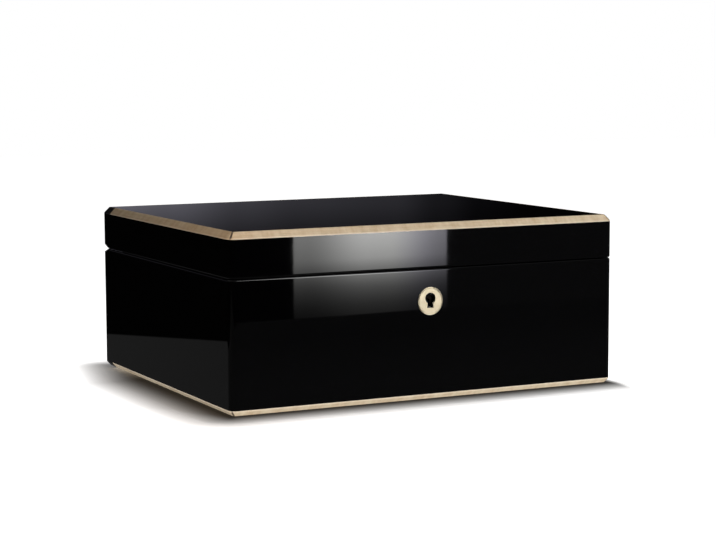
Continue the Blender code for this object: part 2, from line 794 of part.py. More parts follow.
tray_inner_half_width = tray_half_width - tray_wall
tray_inner_half_depth = tray_half_depth - tray_wall
tray_floor_top = tray_low + tray_floor_board
tray_floor = add_piece(
    "tray_floor",
    box(
        (joint_gap - tray_inner_half_width, joint_gap - tray_inner_half_depth, tray_low),
        (tray_inner_half_width - joint_gap, tray_inner_half_depth - joint_gap, tray_floor_top),
    ),
    "cedar", parent=tray_pivot,
)
slot_count = 7
slot_width = 0.0038
slot_end_margin = 0.023
slot_half_length = tray_inner_half_depth - slot_end_margin
slot_pitch = 2 * tray_inner_half_width / (slot_count + 1)
air_slots = repeated(
    lambda: box(
        (-slot_width / 2, -slot_half_length, tray_low - cut_overrun),
        (slot_width / 2, slot_half_length, tray_floor_top + cut_overrun),
    ),
    [((step - (slot_count - 1) / 2) * slot_pitch, 0, 0) for step in range(slot_count)],
)
carve(tray_floor, cutter("tray_air_slots", air_slots))

ledge_width = 0.008
ledge_depth = 0.012
for side, sign in (("left", -1), ("right", 1)):
    rest = box(
        (-ledge_width / 2, joint_gap - inner_depth / 2, tray_low - joint_gap - ledge_depth),
        (ledge_width / 2, inner_depth / 2 - joint_gap, tray_low - joint_gap), edge_soft,
    )
    rest_x = sign * (inner_width / 2 - joint_gap - ledge_width / 2)
    add_piece("tray_rest_" + side, rest, "cedar", (rest_x, 0, 0))

# Dividers: one slides along the tray, one along the space under it
tray_divider_height = 0.026
tray_divider_board = 0.004
tray_right_space = 0.119
tray_divider_x = tray_inner_half_width - tray_right_space - tray_divider_board / 2
divider_pivot = pivot("tray_divider_slide", (tray_divider_x, 0, tray_floor_top), tray_pivot)
add_piece(
    "tray_divider",
    box(
        (-tray_divider_board / 2, joint_gap - tray_inner_half_depth, joint_gap),
        (tray_divider_board / 2, tray_inner_half_depth - joint_gap, tray_divider_height), edge_soft,
    ),
    "cedar", (tray_divider_x, 0, tray_floor_top), parent=divider_pivot,
)
lower_divider_board = 0.005
lower_left_space = 0.1322
lower_divider_x = lower_left_space + lower_divider_board / 2 - inner_width / 2
lower_divider_room = 0.004
lower_divider_height = tray_low - floor_top - lower_divider_room
lower_pivot = pivot("lower_divider_slide", (lower_divider_x, 0, floor_top))
add_piece(
    "lower_divider",
    box(
        (-lower_divider_board / 2, joint_gap - inner_depth / 2, joint_gap),
        (lower_divider_board / 2, inner_depth / 2 - joint_gap, lower_divider_height), edge_soft,
    ),
    "cedar", (lower_divider_x, 0, floor_top), parent=lower_pivot,
)

# The humidifier and the hygrometer hang side by side under the lid, centred as a pair
humidifier_half_width = 0.075
gauge_radius = 0.025
lid_fittings_gap = 0.055
humidifier_x = -gauge_radius - lid_fittings_gap / 2
gauge_x = humidifier_half_width + lid_fittings_gap / 2

# Humidifier: a plastic case with a slotted front over a foam block, held to the lid by a magnet
humidifier_half_depth = 0.030
humidifier_depth = 0.0100
humidifier_wall = 0.0016
grille_thickness = 0.0016
grille_slots = 12
grille_slot_width = 0.0034
grille_end_margin = 0.008
grille_slot_half = humidifier_half_depth - grille_end_margin
magnet_radius = 0.015
magnet_thickness = 0.0012
keeper_thickness = 0.0012
humidifier_soft = 0.0012
case_high = ceiling_low - 2 * joint_gap - magnet_thickness
humidifier_low = case_high - humidifier_depth
pull_pivot = pivot("humidifier_slide", (humidifier_x, 0, case_high))


def humidifier_box(inset, low, high, soft=0.0):
    """A box centred on the humidifier, set in from its outline."""
    half = Vector((humidifier_half_width - inset, humidifier_half_depth - inset))
    return box((-half.x, -half.y, low - case_high), (half.x, half.y, high - case_high), soft)


pull_place = (humidifier_x, 0, case_high)
humidifier_shell = humidifier_box(0, humidifier_low, case_high, humidifier_soft)
humidifier_case = add_piece(
    "humidifier_case", humidifier_shell, "black_plastic", pull_place, parent=pull_pivot
)
well = humidifier_box(humidifier_wall, humidifier_low - cut_overrun, case_high - humidifier_wall)
carve(humidifier_case, cutter("humidifier_well", well, pull_place))
grille = add_piece(
    "humidifier_grille",
    humidifier_box(humidifier_wall + joint_gap, humidifier_low, humidifier_low + grille_thickness),
    "black_plastic", pull_place, parent=pull_pivot,
)
grille_pitch = 2 * (humidifier_half_width - humidifier_wall) / (grille_slots + 1)
grille_cuts = repeated(
    lambda: box(
        (-grille_slot_width / 2, -grille_slot_half, humidifier_low - cut_overrun),
        (grille_slot_width / 2, grille_slot_half, humidifier_low + grille_thickness + cut_overrun),
    ),
    [(humidifier_x + (step - (grille_slots - 1) / 2) * grille_pitch, 0, 0) for step in range(grille_slots)],
)
carve(grille, cutter("grille_slots", grille_cuts))
add_piece(
    "humidifier_foam",
    humidifier_box(
        humidifier_wall + joint_gap, humidifier_low + grille_thickness + joint_gap,
        case_high - humidifier_wall - joint_gap,
    ),
    "foam", pull_place, parent=pull_pivot,
)
add_piece(
    "humidifier_magnet", rod(magnet_radius, magnet_thickness, "Z", round_steps), "steel",
    (humidifier_x, 0, case_high + joint_gap), parent=pull_pivot,
)
add_piece(
    "magnet_keeper", rod(magnet_radius, keeper_thickness, "Z", round_steps), "steel",
    (humidifier_x, 0, ceiling_low), parent=lid_pivot,
)
keeper_seat = rod(magnet_radius + joint_gap, keeper_thickness + joint_gap + cut_overrun, "Z", round_steps)
carve(ceiling, cutter("keeper_seat", keeper_seat, (humidifier_x, 0, ceiling_low - cut_overrun)))

# Hygrometer: a brass case on the lid's ceiling, with a card dial, a needle and a glass, facing down
gauge_depth = 0.0110
gauge_wall = 0.0014
gauge_bezel = 0.0030
gauge_card = 0.0006
gauge_glass = 0.0012
gauge_hub_radius = 0.0016
needle_length = 0.017
needle_tail = 0.006
needle_half = 0.0007
needle_thickness = 0.0005
dial_half_sweep = math.radians(135)
needle_reading_share = 0.70
gauge_back = ceiling_low - joint_gap
gauge_front = gauge_back - gauge_depth
gauge_well = gauge_radius - gauge_wall
gauge_window = gauge_radius - gauge_bezel
gauge_place = (gauge_x, 0, 0)
ledge_level = gauge_front + gauge_wall
gauge_profile = [
    (0, gauge_back),
    (gauge_radius, gauge_back),
    (gauge_radius, ledge_level),
    (gauge_radius - gauge_wall, gauge_front),
    (gauge_window, gauge_front),
    (gauge_window, ledge_level),
    (gauge_well, ledge_level),
    (gauge_well, gauge_back - gauge_wall),
    (0, gauge_back - gauge_wall),
]
add_piece("hygrometer_case", turned(gauge_profile, 2 * round_steps), "brass", gauge_place, parent=lid_pivot)
card_low = gauge_back - gauge_wall - joint_gap - gauge_card
glass_low = ledge_level + joint_gap


def gauge_disc(low, high):
    """A disc that fills the gauge's well between two levels."""
    radius = gauge_well - joint_gap
    return turned([(0, high), (radius, high), (radius, low), (0, low)], 2 * round_steps)


card = gauge_disc(card_low, card_low + gauge_card)
add_piece("hygrometer_dial", card, "dial_card", gauge_place, parent=lid_pivot)
glass = gauge_disc(glass_low, glass_low + gauge_glass)
add_piece("hygrometer_glass", glass, "glass", gauge_place, parent=lid_pivot)
needle_high = card_low - joint_gap
needle_low = needle_high - needle_thickness
needle_pivot = pivot("needle_pivot", (gauge_x, 0, needle_high), lid_pivot)
needle_outline = [
    (needle_length, 0), (gauge_hub_radius, needle_half), (-needle_tail, needle_half),
    (-needle_tail, -needle_half), (gauge_hub_radius, -needle_half),
]
needle = add_piece(
    "hygrometer_needle", extruded(needle_outline, needle_thickness), "steel", (gauge_x, 0, needle_low),
    dial_half_sweep * (2 * needle_reading_share - 1) - math.pi / 2, needle_pivot,
)
hub = rod(gauge_hub_radius, needle_low - glass_low - gauge_glass, "Z", small_steps + small_steps // 2)
hub_low = glass_low + gauge_glass + joint_gap
carve(needle, cutter("needle_hub", hub, (gauge_x, 0, hub_low)), "UNION")

for piece in parts.objects:
    if piece.type == "MESH":
        piece.data.shade_smooth()
        piece.data.set_sharp_from_angle(angle=math.radians(30))
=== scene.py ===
"""A black lacquered humidor with sycamore edges, cedar inside and brass fittings, dressed round its solids."""

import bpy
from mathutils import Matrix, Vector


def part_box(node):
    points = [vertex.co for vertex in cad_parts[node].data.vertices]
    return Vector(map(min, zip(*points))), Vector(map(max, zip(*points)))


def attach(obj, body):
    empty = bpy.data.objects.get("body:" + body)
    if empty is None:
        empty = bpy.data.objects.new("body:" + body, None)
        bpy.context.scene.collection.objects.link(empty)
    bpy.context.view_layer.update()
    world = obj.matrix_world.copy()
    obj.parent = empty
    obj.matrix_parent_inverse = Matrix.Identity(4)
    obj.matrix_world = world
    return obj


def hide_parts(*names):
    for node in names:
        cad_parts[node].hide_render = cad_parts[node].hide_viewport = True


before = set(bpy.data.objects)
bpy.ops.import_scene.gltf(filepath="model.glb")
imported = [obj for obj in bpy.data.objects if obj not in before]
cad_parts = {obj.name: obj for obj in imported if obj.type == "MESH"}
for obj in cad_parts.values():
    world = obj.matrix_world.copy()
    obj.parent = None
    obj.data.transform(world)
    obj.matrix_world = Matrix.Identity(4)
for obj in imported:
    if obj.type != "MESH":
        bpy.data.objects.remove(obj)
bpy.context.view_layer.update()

import math

import bmesh
import bpy
from mathutils import Matrix, Vector

# Lacquered case. The real case is MDF, mitred and glued, then sprayed with black polyester and polished until no
# joint shows, so one skin stands for its four walls and its base board. Rebates for the wood edges, the felt, the
# hinges, the lock and the key plate are cut into it.
sides = ("front", "right", "back", "left")
lies_along = {"front": 0, "right": 1, "back": 0, "left": 1}
turns = {"front": 0, "right": math.pi / 2, "back": math.pi, "left": -math.pi / 2}
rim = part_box("body_front")[1].z
plan_low, plan_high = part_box("base_panel")
case_floor = plan_high.z
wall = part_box("body_front")[1].y - plan_low.y
base_edge_low, base_edge_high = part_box("base_edge_front")
base_chamfer = base_edge_high.z - base_edge_low.z
corner_radius = 0.006
seam_round = 0.0018
notch_depth = 0.007
notch_height = 0.004
corner_notch = 0.0088
corner_leg = 0.016
fit_gap = 0.0003
hairline = 0.0001
overrun = 0.004
tiny = 0.00001


def block(low, high):
    """A box between two corners."""
    low, high = Vector(low), Vector(high)
    bm = bmesh.new()
    bmesh.ops.create_cube(bm, size=1)
    bmesh.ops.scale(bm, vec=high - low, verts=bm.verts)
    bmesh.ops.translate(bm, vec=(low + high) / 2, verts=bm.verts)
    return bm


def round_off(bm, edges, width, segments=3):
    """Takes edges off: flat with one segment, round with more."""
    bmesh.ops.bevel(bm, geom=edges, offset=width, segments=segments, profile=0.5, affect="EDGES", material=-1)


def level_edges(bm, level):
    """The edges that lie at one height."""
    return [edge for edge in bm.edges if all(abs(v.co.z - level) < tiny for v in edge.verts)]


def slab(low, high, radius, segments=8):
    """A board with its four upright edges rounded."""
    bm = block(low, high)
    uprights = [edge for edge in bm.edges if abs(edge.verts[0].co.z - edge.verts[1].co.z) > tiny]
    round_off(bm, uprights, radius, segments)
    return bm


def slice_off(bm, point, normal):
    """Cuts away what lies beyond a plane, and closes the cut."""
    everything = bm.verts[:] + bm.edges[:] + bm.faces[:]
    cut = bmesh.ops.bisect_plane(bm, geom=everything, plane_co=point, plane_no=normal, clear_outer=True)
    bmesh.ops.edgeloop_fill(bm, edges=[item for item in cut["geom_cut"] if isinstance(item, bmesh.types.BMEdge)])


def seam_edge(bm, level, upward):
    """Rounds the edge at the seam, cuts the deeper bevel at the back, and eases that round the two rear corners."""
    front_and_sides = [
        edge for edge in level_edges(bm, level)
        if min(v.co.y for v in edge.verts) < plan_high.y - corner_radius - tiny
    ]
    round_off(bm, front_and_sides, seam_round, 5)
    slice_off(bm, (0, plan_high.y - notch_depth, level), (0, notch_height, upward * notch_depth))
    for sign in (-1, 1):
        diagonal = (sign * notch_height, notch_height, upward * corner_notch * math.sqrt(2))
        slice_off(bm, (sign * plan_high.x, plan_high.y - corner_leg, level), diagonal)


def gathered(forms):
    """Several separate forms as one."""
    whole = bmesh.new()
    for form in forms:
        bmesh.ops.recalc_face_normals(form, faces=form.faces)
        mesh = bpy.data.meshes.new("form")
        form.to_mesh(mesh)
        form.free()
        whole.from_mesh(mesh)
        bpy.data.meshes.remove(mesh)
    return whole


def carve(bm, tool, operation="DIFFERENCE"):
    """Cuts one form with another, or joins them, and gives back the result."""
    shapes = []
    for form in (bm, tool):
        bmesh.ops.recalc_face_normals(form, faces=form.faces)
        mesh = bpy.data.meshes.new("carving")
        form.to_mesh(mesh)
        form.free()
        shapes.append(bpy.data.objects.new("carving", mesh))
        bpy.context.scene.collection.objects.link(shapes[-1])
    boolean = shapes[0].modifiers.new("carving", "BOOLEAN")
    boolean.operation = operation
    boolean.object = shapes[1]
    result = bmesh.new()
    result.from_mesh(shapes[0].evaluated_get(bpy.context.evaluated_depsgraph_get()).data)
    for shape in shapes:
        bpy.data.objects.remove(shape)
    return result


def round_bar(start, end, radius, segments=48):
    """A round bar between two points."""
    start, end = Vector(start), Vector(end)
    span = end - start
    lay = Matrix.Translation((start + end) / 2) @ span.to_track_quat("Z", "Y").to_matrix().to_4x4()
    bm = bmesh.new()
    bmesh.ops.create_cone(
        bm, segments=segments, radius1=radius, radius2=radius, depth=span.length, cap_ends=True, matrix=lay
    )
    return bm


def colour(code):
    """An sRGB hex colour as linear red, green, blue and alpha."""
    parts = [int(code[i:i + 2], 16) / 255 for i in (1, 3, 5)]
    return (*[p / 12.92 if p <= 0.04045 else ((p + 0.055) / 1.055) ** 2.4 for p in parts], 1)


def new_material(name, **sockets):
    """A material, its node tree, its Principled shader with some sockets set, and the place that patterns follow."""
    material = bpy.data.materials.new(name)
    material.use_nodes = True
    tree = material.node_tree
    shader = tree.nodes["Principled BSDF"]
    for socket, value in sockets.items():
        shader.inputs[socket.replace("_", " ")].default_value = value
    return material, tree, shader, add_node(tree, "TexCoord").outputs["Object"]


def add_node(tree, kind, inputs=None, **settings):
    """Adds a node to a tree, with its settings, and its inputs as values or as links from other nodes."""
    made = tree.nodes.new("ShaderNode" + kind)
    for key, value in settings.items():
        setattr(made, key, value)
    for key, value in (inputs or {}).items():
        if isinstance(value, bpy.types.NodeSocket):
            tree.links.new(value, made.inputs[key])
        else:
            made.inputs[key].default_value = value
    return made


def vary(tree, shader, tones=None, rough=None, relief=None, sunk=False):
    """Lets patterns vary a finish: its colour between two tones, its roughness within a range, and its relief."""
    if tones:
        tone = add_node(tree, "Mix", {
            0: tones[0].outputs[0], 6: colour(tones[1]), 7: colour(tones[2]),
        }, data_type="RGBA")
        tree.links.new(tone.outputs[2], shader.inputs["Base Color"])
    if rough:
        polish = add_node(tree, "MapRange", {"Value": rough[0].outputs[0], "To Min": rough[1], "To Max": rough[2]})
        tree.links.new(polish.outputs[0], shader.inputs["Roughness"])
    if relief:
        bump = add_node(tree, "Bump", {
            "Height": relief[0].outputs[0], "Distance": relief[1], "Strength": relief[2],
        }, invert=sunk)
        tree.links.new(bump.outputs[0], shader.inputs["Normal"])


def finished(name, bm, material, body, slot, *replaced, smooth=30):
    """Makes a form a finished piece that rides on a body and stands for its CAD nodes."""
    mesh = bpy.data.meshes.new(name)
    bmesh.ops.recalc_face_normals(bm, faces=bm.faces)
    bm.to_mesh(mesh)
    bm.free()
    mesh.materials.append(material)
    mesh.shade_smooth()
    mesh.set_sharp_from_angle(angle=math.radians(smooth))
    piece = bpy.data.objects.new(name, mesh)
    bpy.context.scene.collection.objects.link(piece)
    normals = piece.modifiers.new("flat_faces_stay_flat", "WEIGHTED_NORMAL")
    normals.keep_sharp = True
    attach(piece, body)
    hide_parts(*replaced)
    return piece


# Polished black polyester: a mirror-like plastic with the faint long waves that polishing leaves, 8 mm apart and a
# micron deep, and a haze of hair scratches that roughens some places a little more than others.
piano_lacquer, tree, shader, place = new_material("polished_black_polyester", IOR=1.5)
wave_spacing = 0.008
wave_height = 0.0000008
haze_spacing = 0.030
waves = add_node(tree, "TexNoise", {"Vector": place, "Scale": 1 / wave_spacing, "Detail": 1.0})
haze = add_node(tree, "TexNoise", {"Vector": place, "Scale": 1 / haze_spacing, "Detail": 6.0, "Roughness": 0.7})
vary(
    tree, shader, tones=(haze, "#010102", "#040405"), rough=(haze, 0.010, 0.036), relief=(waves, wave_height, 1.0)
)

both_ends = ("left", "right")
leaf_low, leaf_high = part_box("hinge_body_leaf_right")
barrel_radius = (leaf_high.z - leaf_low.z) / 2
hinge_axis = Vector((0, leaf_high.y - barrel_radius, (leaf_low.z + leaf_high.z) / 2))
leaf_thickness = 0.0014
plate_low, plate_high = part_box("escutcheon")
key_place = (plate_low + plate_high) / 2
plate_radius = (plate_high.x - plate_low.x) / 2
lock_low, lock_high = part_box("lock_case")
cap_low, cap_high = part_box("lock_cap")
lock_strip = 0.0020
key_bore_radius = 0.0058
link_low, link_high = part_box("link_plate")
lid_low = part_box("lid_rail_front")[0].z


def hinge_rebates(level, low, high):
    """The two rebates in the back edge that the hinge leaves lie in."""
    forms = []
    for name in both_ends:
        left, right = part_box("hinge_body_leaf_" + name)
        forms.append(block(
            (left.x - hairline, left.y - hairline, level + low),
            (right.x + hairline, plan_high.y + overrun, level + high),
        ))
    return gathered(forms)


def core(inset, low, high):
    """A box set in from the outline all round, between two heights."""
    return block((plan_low.x + inset, plan_low.y + inset, low), (plan_high.x - inset, plan_high.y - inset, high))


case = slab((*plan_low.xy, base_edge_high.z + hairline), (*plan_high.xy, rim), corner_radius)
seam_edge(case, rim, 1)
case = carve(case, core(base_chamfer + hairline, plan_low.z, case_floor), "UNION")
wall_back = plan_low.y + wall
felt_low, felt_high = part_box("base_felt")
felt_room = Vector((fit_gap, fit_gap, fit_gap))
back_of_lock = wall_back + overrun
seat_back = plate_high.y + hairline
for tool in (
    core(wall, case_floor, rim + overrun),
    block(felt_low - felt_room, felt_high + felt_room),
    block(
        (cap_low.x - fit_gap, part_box("lock_cam")[0].y, cap_low.z - fit_gap), (cap_high.x + fit_gap, back_of_lock, rim)
    ),
    block(
        (lock_low.x - hairline, lock_low.y - hairline, rim - lock_strip - hairline),
        (lock_high.x + hairline, back_of_lock, rim + overrun),
    ),
    round_bar((0, seat_back, key_place.z), (0, seat_back - overrun, key_place.z), plate_radius + hairline, 128),
    round_bar((0, seat_back - hairline, key_place.z), (0, wall_back, key_place.z), key_bore_radius),
    hinge_rebates(rim, -leaf_thickness - hairline, overrun),
):
    case = carve(case, tool)
walls = ["body_" + side for side in sides]
finished("case_skin", case, piano_lacquer, "box", "black_lacquer", "base_panel", *walls)

# Base edge. Four sycamore strips fill a rebate round the foot of the case, mitred at the corners, planed to 45
# degrees and lacquered clear together with the case, so they run round its corners as part of a cone.
edge_flat = 0.0009
strip_ease = 0.0009
mitre_gap = 0.0003
stub = 0.030


def spin_flat(bm, angle):
    """Turns a form about Z."""
    bmesh.ops.rotate(bm, cent=(0, 0, 0), matrix=Matrix.Rotation(angle, 3, "Z"), verts=bm.verts)


def wood(name, along, tones, sizes, depths, **sockets):
    """A sawn wood whose grain runs along X (0), Y (1) or Z (2).

    tones are the pale wood, the late wood, the pores and the ripple; sizes are the length and width of its growth
    streaks, of its fibres, of its pores and of its ripple; depths say how strong each is.
    """
    material, tree, shader, place = new_material(name, **sockets)

    def stretched(length, width):
        scale = [1 / width] * 3
        scale[along] = 1 / length
        return add_node(tree, "Mapping", {"Vector": place, "Scale": scale}).outputs["Vector"]

    streaks, fibres, pores, ripple = [
        add_node(tree, "TexNoise", {"Vector": stretched(*size), "Scale": 1.0, "Detail": 3.0, "Roughness": 0.6})
        for size in sizes
    ]
    tone = colour(tones[0])
    for pattern, first, last, depth, laid in (
        (streaks, 0.34, 0.68, depths[0], tones[1]), (fibres, 0.35, 0.70, depths[1], tones[1]),
        (ripple, 0.30, 0.70, depths[3], tones[3]), (pores, 0.60, 0.72, depths[2], tones[2]),
    ):
        strength = add_node(tree, "MapRange", {
            "Value": pattern.outputs["Fac"], "From Min": first, "From Max": last, "To Max": depth,
        })
        tone = add_node(tree, "Mix", {0: strength.outputs[0], 6: tone, 7: colour(laid)}, data_type="RGBA").outputs[2]
    tree.links.new(tone, shader.inputs["Base Color"])
    return material, tree, shader, fibres, strength


# Sycamore, quarter-sawn, planed and lacquered clear: cream wood with close fibres, soft ripple across the grain and
# a gloss coat over it. Streaks are 70 x 3 mm, fibres 9 x 0.5 mm, ripple bands 7 mm apart. At the mitres the glue has
# soaked in and left a dark line, the eased arrises are painted paler as a painted highlight, and both rear corners are
# painted near black as painted shade.
sycamore_tones = ("#d0bd9e", "#a88964", "#664b31", "#e6d9be")
sycamore_sizes = ((0.070, 0.003), (0.009, 0.0005), (0.004, 0.0003), (0.007, 0.022))
sycamore_depths = (0.55, 0.45, 0.35, 0.55)
glue_line = 0.0011
corner_shade_reach = 0.0225
sycamore = {}
for direction in (0, 1):
    made, tree, shader, fibres, _ = wood(
        "clear_lacquered_sycamore_" + "xy"[direction], direction, sycamore_tones, sycamore_sizes, sycamore_depths,
        Specular_IOR_Level=0.2, Coat_Weight=0.5, Coat_Roughness=0.08, Coat_IOR=1.5,
    )
    vary(tree, shader, rough=(fibres, 0.32, 0.52))
    place = add_node(tree, "TexCoord")
    spread = add_node(tree, "VectorMath", {0: place.outputs["Object"]}, operation="ABSOLUTE")
    apart = add_node(tree, "VectorMath", {0: spread.outputs[0], 1: (1, -1, 0)}, operation="DOT_PRODUCT")
    on_mitre = add_node(tree, "Math", {
        0: apart.outputs["Value"], 1: plan_high.x - plan_high.y, 2: glue_line,
    }, operation="COMPARE")
    # Where the face turns from 45 degrees toward upright at the eased arrises, the colour is mixed toward pale cream: a
    # painted highlight.
    faced_up = add_node(tree, "SeparateXYZ", {0: place.outputs["Normal"]}).outputs["Z"]
    flatness = add_node(tree, "Math", {0: faced_up}, operation="ABSOLUTE")
    painted_arris_highlight = add_node(tree, "MapRange", {
        "Value": flatness.outputs[0], "From Min": 0.62, "From Max": 0.30, "To Max": 0.6,
    })
    # Within 22.5 mm of both rear corners the strips are coloured near black: painted shade.
    sideways = add_node(tree, "SeparateXYZ", {0: spread.outputs[0]}).outputs["X"]
    rearward = add_node(tree, "SeparateXYZ", {0: place.outputs["Object"]}).outputs["Y"]
    past_side = add_node(tree, "Math", {0: sideways, 1: plan_high.x - corner_shade_reach}, operation="SUBTRACT")
    past_back = add_node(tree, "Math", {0: rearward, 1: plan_high.y - corner_shade_reach}, operation="SUBTRACT")
    rear_corner_reach = add_node(tree, "Math", {0: past_side.outputs[0], 1: past_back.outputs[0]}, operation="MINIMUM")
    painted_corner_shade = add_node(tree, "Math", {0: rear_corner_reach.outputs[0], 1: 0}, operation="GREATER_THAN")
    tone = shader.inputs["Base Color"].links[0].from_socket
    for where, laid in ((on_mitre, "#35200f"), (painted_arris_highlight, "#f4e6d0"), (painted_corner_shade, "#040405")):
        tone = add_node(tree, "Mix", {0: where.outputs[0], 6: tone, 7: colour(laid)}, data_type="RGBA").outputs[2]
    tree.links.new(tone, shader.inputs["Base Color"])
    sycamore[direction] = made


def lay_strips(prefix, cut_level, flat_level, body):
    """Four mitred strips round the box between two levels, planed off at 45 degrees at the first."""
    low, high = sorted((cut_level, flat_level))
    chamfer = high - low
    toward = 1 if cut_level > flat_level else -1
    for side in sides:
        strip = slab((*plan_low.xy, low), (*plan_high.xy, high), corner_radius, 12)
        round_off(strip, level_edges(strip, cut_level), chamfer - edge_flat, 1)
        round_off(strip, level_edges(strip, flat_level + toward * edge_flat), strip_ease, 4)
        strip = carve(strip, core(chamfer, low - overrun, high + overrun))
        spin_flat(strip, -turns[side])
        half, reach = (plan_high.y, plan_high.x) if lies_along[side] else (plan_high.x, plan_high.y)
        slice_off(strip, (0, stub - reach, 0), (0, 1, 0))
        for sign in (-1, 1):
            slice_off(strip, (sign * (half - mitre_gap / math.sqrt(2)), -reach, 0), (sign, 1, 0))
        spin_flat(strip, turns[side])
        grain = sycamore[lies_along[side]]
        finished(prefix + side + "_strip", strip, grain, body, "sycamore", prefix + side, smooth=25)


lay_strips("base_edge_", base_edge_low.z, base_edge_high.z, "box")

# Felt. A sheet of black wool felt is glued into a shallow recess under the base, so that the box can be slid about
# without marking the table. Its hairs lie every way and hold together in small clumps.
felt, tree, shader, place = new_material("pressed_wool_felt", Roughness=0.95, Sheen_Weight=0.5, Sheen_Roughness=0.4)
hair_spacing = 0.0009
clump_spacing = 0.006
nap_height = 0.0002
hairs = add_node(tree, "TexNoise", {"Vector": place, "Scale": 1 / hair_spacing, "Detail": 4.0, "Distortion": 1.5})
clumps = add_node(tree, "TexNoise", {"Vector": place, "Scale": 1 / clump_spacing, "Detail": 3.0})
mixed = add_node(tree, "Math", {0: hairs.outputs["Fac"], 1: clumps.outputs["Fac"]}, operation="MULTIPLY")
vary(tree, shader, tones=(mixed, "#0d0d0f", "#3a3a3d"), relief=(hairs, nap_height, 0.8))


hand_ease = 0.0005
sawn_ease = 0.0002
metal_ease = 0.00015


def dressed(name, material, ease=0.0003, segments=2):
    """Keeps a CAD node as it is, with its edges eased and a finish on it."""
    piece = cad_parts[name]
    joined = piece.modifiers.new("joined", "WELD")
    joined.merge_threshold = tiny
    whole = piece.modifiers.new("whole_faces", "DECIMATE")
    whole.decimate_type = "DISSOLVE"
    whole.angle_limit = math.radians(1)
    eased = piece.modifiers.new("eased_edges", "BEVEL")
    eased.width = ease
    eased.segments = segments
    eased.limit_method = "ANGLE"
    eased.angle_limit = math.radians(40)
    piece.modifiers.new("flat_faces_stay_flat", "WEIGHTED_NORMAL").keep_sharp = True
    piece.material_slots[0].material = material


dressed("base_felt", felt)

# Cedar lining. Boards of Spanish cedar, planed and left bare so that they can hold moisture, mitred and pressed into
# the case. They stand above the rim as the lip that seals the lid; the floor and the tray's ledges are cedar too.
cedar_tones = ("#c98f63", "#8f5433", "#4a2514", "#dba679")
cedar_sizes = ((0.090, 0.0045), (0.012, 0.0006), (0.0035, 0.00028), (0.030, 0.060))
cedar_depths = (0.75, 0.40, 0.75, 0.35)
pore_depth = 0.00008
cedar = {}
for direction in (0, 1):
    made, tree, shader, fibres, pores = wood(
        "planed_spanish_cedar_" + "xy"[direction], direction, cedar_tones, cedar_sizes, cedar_depths
    )
    vary(tree, shader, rough=(fibres, 0.55, 0.80), relief=(pores, pore_depth, 0.6), sunk=True)
    cedar[direction] = made

for side in sides:
    dressed("cedar_" + side, cedar[lies_along[side]])
dressed("cedar_floor", cedar[0])
for side in both_ends:
    dressed("tray_rest_" + side, cedar[1], hand_ease, 3)

# Hinges. Two drawn-brass butt hinges, their leaves let into the back rims and their barrels in the bevel behind, with
# a brass pin through three knuckles and three countersunk cross-head screws in each leaf.
brass, tree, shader, place = new_material("drawn_brass", Metallic=1.0)
draw_length = 0.020
draw_width = 0.00025
draw_depth = 0.00002
tarnish_spacing = 0.012
drawn = add_node(tree, "Mapping", {"Vector": place, "Scale": (1 / draw_length, 1 / draw_width, 1 / draw_width)})
lines = add_node(tree, "TexNoise", {"Vector": drawn.outputs["Vector"], "Scale": 1.0, "Detail": 3.0})
tarnish = add_node(tree, "TexNoise", {"Vector": place, "Scale": 1 / tarnish_spacing, "Detail": 5.0})
vary(
    tree, shader, tones=(tarnish, "#dcbc7c", "#b8924e"), rough=(lines, 0.18, 0.38), relief=(lines, draw_depth, 0.5)
)

knuckle_gap = 0.0003
hinge_length = leaf_high.x - leaf_low.x
knuckle = (hinge_length - 2 * knuckle_gap) / 3
pin_radius = 0.0010
barrel_ease = 0.0003
screw_pitch = 0.015
screw_head = 0.0026
screw_head_height = 0.0011
screw_shank = 0.0014
screw_length = 0.0085
screw_room = 0.00012
drive_depth = 0.0007
drive_width = 0.0006
last_turn = 0.7
leaf_land = hinge_axis.y - barrel_radius - knuckle_gap
hinge_screw_y = (leaf_low.y + plan_high.y - notch_depth) / 2


def turned(profile, steps=96):
    """A turned form: a closed profile of radius and height, spun round Z."""
    bm = bmesh.new()
    points = [bm.verts.new((radius, 0, height)) for radius, height in profile]
    lines = [bm.edges.new(pair) for pair in zip(points, points[1:])]
    bmesh.ops.spin(
        bm, geom=points + lines, cent=(0, 0, 0), axis=(0, 0, 1), angle=2 * math.pi, steps=steps, use_merge=True
    )
    bmesh.ops.remove_doubles(bm, verts=bm.verts, dist=tiny)
    bmesh.ops.dissolve_degenerate(bm, edges=bm.edges, dist=tiny)
    bmesh.ops.recalc_face_normals(bm, faces=bm.faces)
    return bm


def countersinks(places, direction):
    """The countersunk holes for screws at some places, driven down (-1) or up (1)."""
    cones = []
    for x, y, level in places:
        cone = bmesh.new()
        bmesh.ops.create_cone(
            cone, segments=40, radius1=screw_shank, radius2=screw_head, depth=screw_head_height, cap_ends=True
        )
        bmesh.ops.scale(cone, vec=(1, 1, -direction), verts=cone.verts)
        bmesh.ops.translate(cone, vec=(x, y, level + direction * screw_head_height / 2), verts=cone.verts)
        drill = round_bar(
            (x, y, level - direction * hairline), (x, y, level + direction * screw_length), screw_shank, 40
        )
        mouth = round_bar((x, y, level - direction * overrun), (x, y, level), screw_head, 40)
        cones.append(carve(carve(cone, drill, "UNION"), mouth, "UNION"))
    return gathered(cones)


